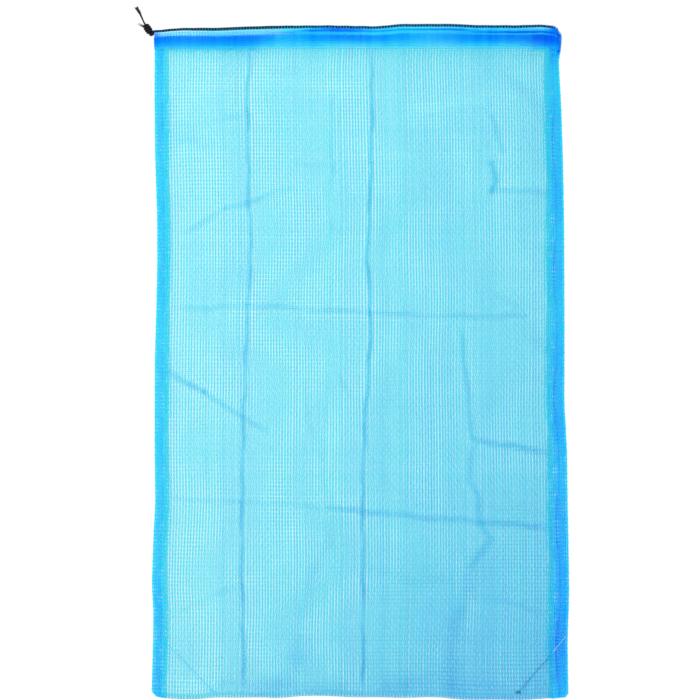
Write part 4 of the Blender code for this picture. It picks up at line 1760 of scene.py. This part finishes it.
class SurfaceGroup:
    """A node group that works out a finish's colour, gloss and relief.

    Attributes:
        group: The node group.
        entry: The sockets of its inputs, inside it.
        leave: The sockets of its outputs, inside it.
        place: Where a point lies on the piece.
    """

    COLOUR = "NodeSocketColor"
    NUMBER = "NodeSocketFloat"

    def __init__(self, name: str, inputs: dict[str, float | tuple[float, ...]]) -> None:
        """Open a new group.

        Args:
            name: The group's name.
            inputs: Its inputs' names, each with its default colour or number.
        """
        self.group = bpy.data.node_groups.new(name, "ShaderNodeTree")
        face = self.group.interface
        for key, value in inputs.items():
            kind = self.COLOUR if isinstance(value, tuple) else self.NUMBER
            face.new_socket(name=key, in_out="INPUT", socket_type=kind).default_value = value
        face.new_socket(name="Color", in_out="OUTPUT", socket_type=self.COLOUR)
        for key in ("Roughness", "Height"):
            face.new_socket(name=key, in_out="OUTPUT", socket_type=self.NUMBER)
        self.entry = self.group.nodes.new("NodeGroupInput").outputs
        self.leave = self.group.nodes.new("NodeGroupOutput").inputs
        self.place = self.group.nodes.new("ShaderNodeTexCoord").outputs["Object"]

    def feed(self, socket: Socket, value: object) -> None:
        """Give a socket a plain value, or link another socket to it."""
        if isinstance(value, Socket):
            self.group.links.new(value, socket)
        else:
            socket.default_value = value

    def noise(self, where: Socket, scale: float, detail: float) -> object:
        """A noise texture's value at a coordinate."""
        node = self.group.nodes.new("ShaderNodeTexNoise")
        for key, value in (("Vector", where), ("Scale", scale), ("Detail", detail)):
            self.feed(node.inputs[key], value)
        return node.outputs["Fac"]

    def maths(self, kind: str, first: object, second: object) -> object:
        """A Math node's value; each input is a socket or a number."""
        node = self.group.nodes.new("ShaderNodeMath")
        node.operation = kind
        self.feed(node.inputs[0], first)
        self.feed(node.inputs[1], second)
        return node.outputs[0]

    def clip(self, value: object) -> object:
        """A value kept between 0 and 1."""
        return self.maths("MINIMUM", self.maths("MAXIMUM", value, 0.0), 1.0)

    def mix(self, share: object, first: object, second: object) -> object:
        """A colour between two others."""
        node = self.group.nodes.new("ShaderNodeMix")
        node.data_type = "RGBA"
        for key, value in (("Factor", share), (6, first), (7, second)):
            self.feed(node.inputs[key], value)
        return node.outputs[2]

    def stretched(self, scale: tuple[float, float, float]) -> object:
        """The place, scaled by its own share in each direction."""
        node = self.group.nodes.new("ShaderNodeVectorMath")
        node.operation = "MULTIPLY"
        self.feed(node.inputs[0], self.place)
        self.feed(node.inputs[1], scale)
        return node.outputs[0]

    def close(self, colour: object, rough: object, height: object) -> bpy.types.NodeTree:
        """Join the outputs and hand over the group."""
        for key, value in (("Color", colour), ("Roughness", rough), ("Height", height)):
            self.feed(self.leave[key], value)
        return self.group

    @classmethod
    def tape(cls) -> bpy.types.NodeTree:
        """Drawn plastic tape, coloured by its depth of layers, which along the creases also holds
        painted shade.

        Returns:
            The group, made on the first call.
        """
        name = "drawn_tape"
        if name in bpy.data.node_groups:
            return bpy.data.node_groups[name]
        new = cls(
            name,
            {
                "Light": (0.1, 0.75, 0.9, 1),
                "Middle": (0.02, 0.4, 0.95, 1),
                "Deep": (0.0, 0.12, 0.8, 1),
                "Patchiness": 0.2,
                "Streaks": 0.15,
            },
        )
        layers = new.group.nodes.new("ShaderNodeAttribute")
        layers.attribute_name = "layers"
        broad = new.noise(new.place, 16.0, 2.0)
        fine = new.noise(new.place, 900.0, 2.0)
        streak = new.noise(new.stretched((1.0, 0.08, 1.0)), 1400.0, 3.0)
        patch = new.maths("MULTIPLY", new.maths("SUBTRACT", broad, 0.5), new.entry["Patchiness"])
        grain = new.maths("MULTIPLY", new.maths("SUBTRACT", streak, 0.5), new.entry["Streaks"])
        depth = new.maths("ADD", layers.outputs["Fac"], new.maths("ADD", patch, grain))
        twice = new.maths("MULTIPLY", depth, 2.0)
        low, high = new.clip(twice), new.clip(new.maths("SUBTRACT", twice, 1.0))
        colour = new.mix(low, new.entry["Light"], new.entry["Middle"])
        colour = new.mix(high, colour, new.entry["Deep"])
        rough = new.maths("ADD", new.maths("MULTIPLY", fine, 0.22), 0.30)
        return new.close(colour, rough, streak)

    @classmethod
    def fibre(cls) -> bpy.types.NodeTree:
        """Spun or braided fibre, with painted shade in the hollows of its bump relief.

        Returns:
            The group, made on the first call.
        """
        name = "spun_fibre"
        if name in bpy.data.node_groups:
            return bpy.data.node_groups[name]
        new = cls(name, {"Dark": (0, 0, 0, 1), "Bright": (1, 1, 1, 1), "Gloss": 0.4})
        coarse = new.noise(new.place, 420.0, 3.0)
        fine = new.noise(new.place, 2600.0, 2.0)
        both = new.maths(
            "ADD", new.maths("MULTIPLY", coarse, 0.6), new.maths("MULTIPLY", fine, 0.4)
        )
        rough = new.maths("ADD", new.maths("MULTIPLY", fine, 0.3), new.entry["Gloss"])
        return new.close(new.mix(both, new.entry["Dark"], new.entry["Bright"]), rough, both)


@dataclass(frozen=True)
class Finish:
    """A finish, whose material is made when it is first put on a piece.

    Attributes:
        name: The material's name.
        slot: The record's material slot; not used.
    """

    name: str
    slot: str

    def material(self) -> bpy.types.Material:
        """Make the finish's material."""
        raise NotImplementedError

    def start(
        self, group: bpy.types.NodeTree, values: dict[str, object], relief: float, reach: float
    ) -> tuple[bpy.types.Material, bpy.types.Node]:
        """A Principled material fed by a group's colour, gloss and relief.

        Args:
            group: The node group with Color, Roughness and Height.
            values: The group's inputs.
            relief: Strength of the bump.
            reach: Depth of the bump in metres.

        Returns:
            The material and its shader node.
        """
        surface = bpy.data.materials.new(self.name)
        surface.use_nodes = True
        nodes, links = surface.node_tree.nodes, surface.node_tree.links
        shader = nodes["Principled BSDF"]
        source = nodes.new("ShaderNodeGroup")
        source.node_tree = group
        for key, value in values.items():
            source.inputs[key].default_value = value
        bump = nodes.new("ShaderNodeBump")
        bump.inputs["Strength"].default_value = relief
        bump.inputs["Distance"].default_value = reach
        links.new(source.outputs["Color"], shader.inputs["Base Color"])
        # The colour also feeds the emission: a painted glow, whose strength the yarn and thread
        # finishes set.
        links.new(source.outputs["Color"], shader.inputs["Emission Color"])
        links.new(source.outputs["Roughness"], shader.inputs["Roughness"])
        links.new(source.outputs["Height"], bump.inputs["Height"])
        links.new(bump.outputs["Normal"], shader.inputs["Normal"])
        return surface, shader

    def dress(self, piece: Piece) -> None:
        """Put the finish on a piece."""
        piece.data.materials.clear()
        piece.data.materials.append(bpy.data.materials.get(self.name) or self.material())


@dataclass(frozen=True)
class YarnFinish(Finish):
    """Drawn plastic tape of the mesh.

    Attributes:
        light: Colour of one thin layer.
        middle: Colour of a few layers.
        deep: Colour of many layers.
        glow: Strength of a painted glow in the tape's own colour, standing in for light that the
            thin tape lets through.
        cover: Share of what lies behind that one tape hides.
    """

    light: tuple[float, float, float] = (0.05, 0.735, 0.81)
    middle: tuple[float, float, float] = (0.002, 0.40, 0.82)
    deep: tuple[float, float, float] = (0.0, 0.15, 0.80)
    glow: float = 0.08
    cover: float = 0.52

    def material(self) -> bpy.types.Material:
        """Make the finish's material."""
        values = {
            "Light": (*self.light, 1),
            "Middle": (*self.middle, 1),
            "Deep": (*self.deep, 1),
            "Patchiness": 0.12,
            "Streaks": 0.10,
        }
        surface, shader = self.start(SurfaceGroup.tape(), values, 0.25, 0.00008)
        shader.inputs["Specular IOR Level"].default_value = 0.30
        shader.inputs["Specular Tint"].default_value = (0.05, 0.55, 1.0, 1)
        shader.inputs["Alpha"].default_value = self.cover
        shader.inputs["Emission Strength"].default_value = self.glow
        return surface


@dataclass(frozen=True)
class ThreadFinish(Finish):
    """Sewing thread.

    Attributes:
        slot: The record's material slot; not used.
        dark: Colour of the painted shade in the thread's hollows, mixed in by noise.
        bright: Colour on its strands.
        glow: Strength of a painted glow in the thread's own colour, standing in for light let
            through.
        sheen: Weight of the soft sheen at its edges.
    """

    slot: str = "pale_thread"
    dark: tuple[float, float, float] = (0.01, 0.42, 0.88)
    bright: tuple[float, float, float] = (0.08, 0.66, 0.95)
    glow: float = 0.2
    sheen: float = 0.2

    def material(self) -> bpy.types.Material:
        """Make the finish's material."""
        values = {"Dark": (*self.dark, 1), "Bright": (*self.bright, 1), "Gloss": 0.40}
        surface, shader = self.start(SurfaceGroup.fibre(), values, 0.4, 0.00008)
        shader.inputs["Sheen Weight"].default_value = self.sheen
        shader.inputs["Specular Tint"].default_value = (0.3, 0.7, 1.0, 1)
        shader.inputs["Emission Strength"].default_value = self.glow
        return surface


@dataclass(frozen=True)
class CordFinish(Finish):
    """Black braided cord.

    Attributes:
        slot: The record's material slot; not used.
        dark: Colour of the painted shade in the braid's hollows, mixed in by noise.
        bright: Colour on its strands.
    """

    slot: str = "black_cord"
    dark: tuple[float, float, float] = (0.0005, 0.0008, 0.0012)
    bright: tuple[float, float, float] = (0.006, 0.011, 0.013)

    def material(self) -> bpy.types.Material:
        """Make the finish's material."""
        values = {"Dark": (*self.dark, 1), "Bright": (*self.bright, 1), "Gloss": 0.34}
        surface, shader = self.start(SurfaceGroup.fibre(), values, 0.5, 0.0001)
        shader.inputs["Specular IOR Level"].default_value = 0.22
        return surface


@dataclass
class Gather:
    """Bakes each cloth piece's placement into its mesh.

    Attributes:
        bag: The bag's places; not used.
    """

    bag: BagFrame

    BEFORE = 0.050
    BEYOND = 0.060

    def apply(self, piece: Piece) -> None:
        """Bake a piece's placement into its mesh."""
        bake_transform(piece)


@dataclass(frozen=True)
class Studio:
    """Pale floor, soft light and the camera above the bag.

    Attributes:
        camera_height: How far above the floor the camera stands.
        lens: Its focal length in millimetres.
        aim: The point of the floor under it.
    """

    camera_height: float = 2.364
    lens: float = 100.0
    aim: tuple[float, float] = (-0.0127, 0.0149)

    FLOOR_REACH = 6.0
    FLOOR_TONE = (0.25, 0.25, 0.25, 1)
    FLOOR_GLOW = 0.80
    WHITE = (1, 1, 1, 1)
    SURROUND = 0.70
    LAMPS = (
        ("key_lamp", (-0.9, 0.9, 2.0), 1.6, 26.0),
        ("fill_lamp", (1.2, -0.8, 1.8), 1.8, 9.0),
    )

    def build_floor(self) -> Piece:
        """A wide, pale, faintly glowing floor under the bag.

        Returns:
            The floor.
        """
        reach = self.FLOOR_REACH
        corners = [(-reach, -reach, 0), (reach, -reach, 0), (reach, reach, 0), (-reach, reach, 0)]
        shape = bpy.data.meshes.new("floor")
        shape.from_pydata(corners, [], [(0, 1, 2, 3)])
        floor = bpy.data.objects.new("floor", shape)
        bpy.context.scene.collection.objects.link(floor)
        surface = bpy.data.materials.new("pale_floor")
        surface.use_nodes = True
        shader = surface.node_tree.nodes["Principled BSDF"]
        for key, value in (
            ("Base Color", self.FLOOR_TONE),
            ("Roughness", 0.9),
            ("Specular IOR Level", 0.1),
            ("Emission Color", self.WHITE),
            ("Emission Strength", self.FLOOR_GLOW),
        ):
            shader.inputs[key].default_value = value
        shape.materials.append(surface)
        return floor

    def build_lights(self) -> None:
        """An even white surround and one wide soft lamp."""
        world = bpy.data.worlds.new("soft_room")
        world.use_nodes = True
        light = world.node_tree.nodes["Background"]
        light.inputs["Color"].default_value = self.WHITE
        light.inputs["Strength"].default_value = self.SURROUND
        bpy.context.scene.world = world
        for name, place, size, power in self.LAMPS:
            lamp = bpy.data.lights.new(name, "AREA")
            lamp.size = size
            lamp.energy = power
            item = bpy.data.objects.new(name, lamp)
            item.location = place
            item.rotation_mode = "QUATERNION"
            item.rotation_quaternion = Vector(place).to_track_quat("Z", "Y")
            bpy.context.scene.collection.objects.link(item)

    def build_camera(self) -> None:
        """A long lens looking straight down."""
        lens = bpy.data.cameras.new("camera")
        lens.lens = self.lens
        lens.sensor_width = 36.0
        camera = bpy.data.objects.new("camera", lens)
        camera.location = (*self.aim, self.camera_height)
        bpy.context.scene.collection.objects.link(camera)
        bpy.context.scene.camera = camera
        bpy.context.scene.view_settings.view_transform = "Standard"


OPEN_WEAVE = Weave(0.0021, 0.0038)
MESH = YarnFinish("mesh_tape", "mesh_yarn", cover=0.28)
DOUBLED = YarnFinish(
    "doubled_tape",
    "doubled_mesh",
    light=(0.025, 0.735, 0.916),
    middle=(0.001, 0.42, 0.96),
    deep=(0.0, 0.13, 0.90),
)
BLUE_THREAD = ThreadFinish("blue_thread")


def hem_stitch_route(hem: Hem) -> Array:
    """The line of the stitches that hold a hem down.

    Args:
        hem: The hem.

    Returns:
        The row's points.
    """
    bag = hem.form.bag
    x = np.linspace(bag.left + 0.001, bag.hem_right + 0.001, 160)
    y = hem.form.mouth(x) - hem.row(x) - 0.0004 * np.sin(x * 37.0)
    face = hem.form.height(x, y)
    inward = 0.0 if hem.form.side is Side.FRONT else 0.0016
    return np.stack([x, y, face + inward + 0.0006], axis=-1)


def corner_stitch_route(form: SheetForm, seam: SideSeam) -> list[Array]:
    """The slanting row across a bottom corner.

    Args:
        form: The front sheet's form.
        seam: The side seam at that corner.

    Returns:
        The points of each part: over the seam where it starts there, then over the panel.
    """
    start, end = (np.array(point) for point in CORNER_ROWS[seam.name])
    line = start + (end - start) * np.linspace(0, 1, 60)[:, None]
    outer, inner = seam.edges(line[:, 1])
    inside = np.abs(line[:, 0] - outer) / np.abs(inner - outer)
    band = seam.face(inside, 1.0)
    sheet = form.height(line[:, 0], line[:, 1])
    z = np.where(inside < 1.0, band, sheet) + 0.0007
    route = np.concatenate([line, z[:, None]], axis=1)
    last = int(np.sum(inside < 1.0))
    return [route[:last], route[last - 1 :]] if last > FEWEST_POINTS else [route]


def report(piece: Piece) -> None:
    """Log one finished piece."""
    LOG.info("%s: %d faces", piece.name, len(piece.data.polygons))


def build_panels(front: SheetForm, back: SheetForm) -> tuple[list, list]:
    """Weave both halves of the sheet.

    Args:
        front: The front sheet's form.
        back: The back sheet's form.

    Returns:
        The two panels, and all their pieces.
    """
    finishes = (
        YarnFinish("mesh_twist_tape", "mesh_yarn", cover=0.44),
        MESH,
        YarnFinish("mesh_weft_tape", "mesh_yarn", cover=0.27),
    )
    pitches = {"warp_pitch": 0.00346, "weft_pitch_low": 0.0047, "weft_pitch_high": 0.0045}
    panels = [Panel(front, OPEN_WEAVE, 31), Panel(back, OPEN_WEAVE, 41, **pitches)]
    cloth = []
    for panel in panels:
        *warps, weft = panel.build(finishes)
        cloth += [*warps, weft]
    return panels, cloth


def build_stitches(
    front: SheetForm, hems: list[Hem], seams: tuple[SideSeam, SideSeam]
) -> list[Piece]:
    """Sew the rows of the hems and of the bottom corners.

    Args:
        front: The front sheet's form.
        hems: The front and back hems.
        seams: The left and right seams.

    Returns:
        The rows' pieces.
    """
    hem_thread = ThreadFinish(
        "hem_thread", dark=(0.003, 0.34, 0.86), bright=(0.02, 0.46, 0.95), glow=0.10, sheen=0.0
    )
    pale = ThreadFinish("pale_thread", dark=(0.10, 0.52, 0.88), bright=(0.28, 0.78, 0.98))
    # A darker copy of the thread: painted shade on the lower part of the right corner row.
    shaded = ThreadFinish(
        "shaded_thread", dark=(0.004, 0.13, 0.30), bright=(0.02, 0.26, 0.48), glow=0.05, sheen=0.0
    )
    rows = []
    for hem in hems:
        side = hem.form.side.value
        row = StitchRow(f"{side}_hem_stitches", hem_stitch_route(hem), f"{side}_hem_stitching")
        rows.append(row.build(hem_thread))
    for seam, finish, tacks in zip(seams, (BLUE_THREAD, shaded), (3, 5)):
        *over_seam, over_panel = corner_stitch_route(front, seam)
        name, node = f"{seam.name}_corner", f"{seam.name}_corner_stitching"
        for part in over_seam:
            top = StitchRow(f"{name}_stitches", part, node, thickness=CORNER_THREAD)
            rows.append(top.build(pale))
        end = StitchRow(
            f"{name}_lower_stitches", over_panel, node, thickness=LOWER_THREAD, tacks=tacks
        )
        rows.append(end.build(finish))
    return rows


def main() -> None:
    """Build the bag, dress it, and set it in the studio."""
    logging.basicConfig(level=logging.INFO, format="%(name)s: %(message)s")
    studio = Studio()
    studio.build_camera()
    studio.build_floor()
    studio.build_lights()

    bag = BagFrame.read()
    weave = Weave()
    front, back = SheetForm.make(bag, Side.FRONT), SheetForm.make(bag, Side.BACK)
    panels, cloth = build_panels(front, back)
    shares = [panel.warp_shares() for panel in panels]
    cloth.append(Fold(front, shares[0], OPEN_WEAVE).build(MESH))
    hems = [Hem(front, shares[0], weave, 61), Hem(back, shares[1], weave, 62)]
    cloth += [hem.build(DOUBLED) for hem in hems]
    cloth.append(HemTurn(front, weave).build(DOUBLED))
    seams = (
        SideSeam("left", front, weave, LEFT_BAND, 3),
        SideSeam("right", front, weave, RIGHT_BAND, 8),
    )
    for seam in seams:
        cloth.append(seam.build(DOUBLED))
        cloth.append(Overlock(seam).build(BLUE_THREAD))
    cloth.append(WeftEnds(seams[1]).build(MESH))
    cloth += build_stitches(front, hems, seams)
    gather = Gather(bag)
    for piece in cloth:
        gather.apply(piece)
        report(piece)

    cord = Drawstring(front, back)
    black = CordFinish("black_braid")
    worn = CordFinish("worn_fibre", dark=(0.10, 0.13, 0.12), bright=(0.30, 0.36, 0.34))
    for piece in (cord.build_cord(black), cord.build_knot(black), *cord.build_tails(black, worn)):
        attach(piece, CORD)
        report(piece)


if __name__ == "__main__":
    main()
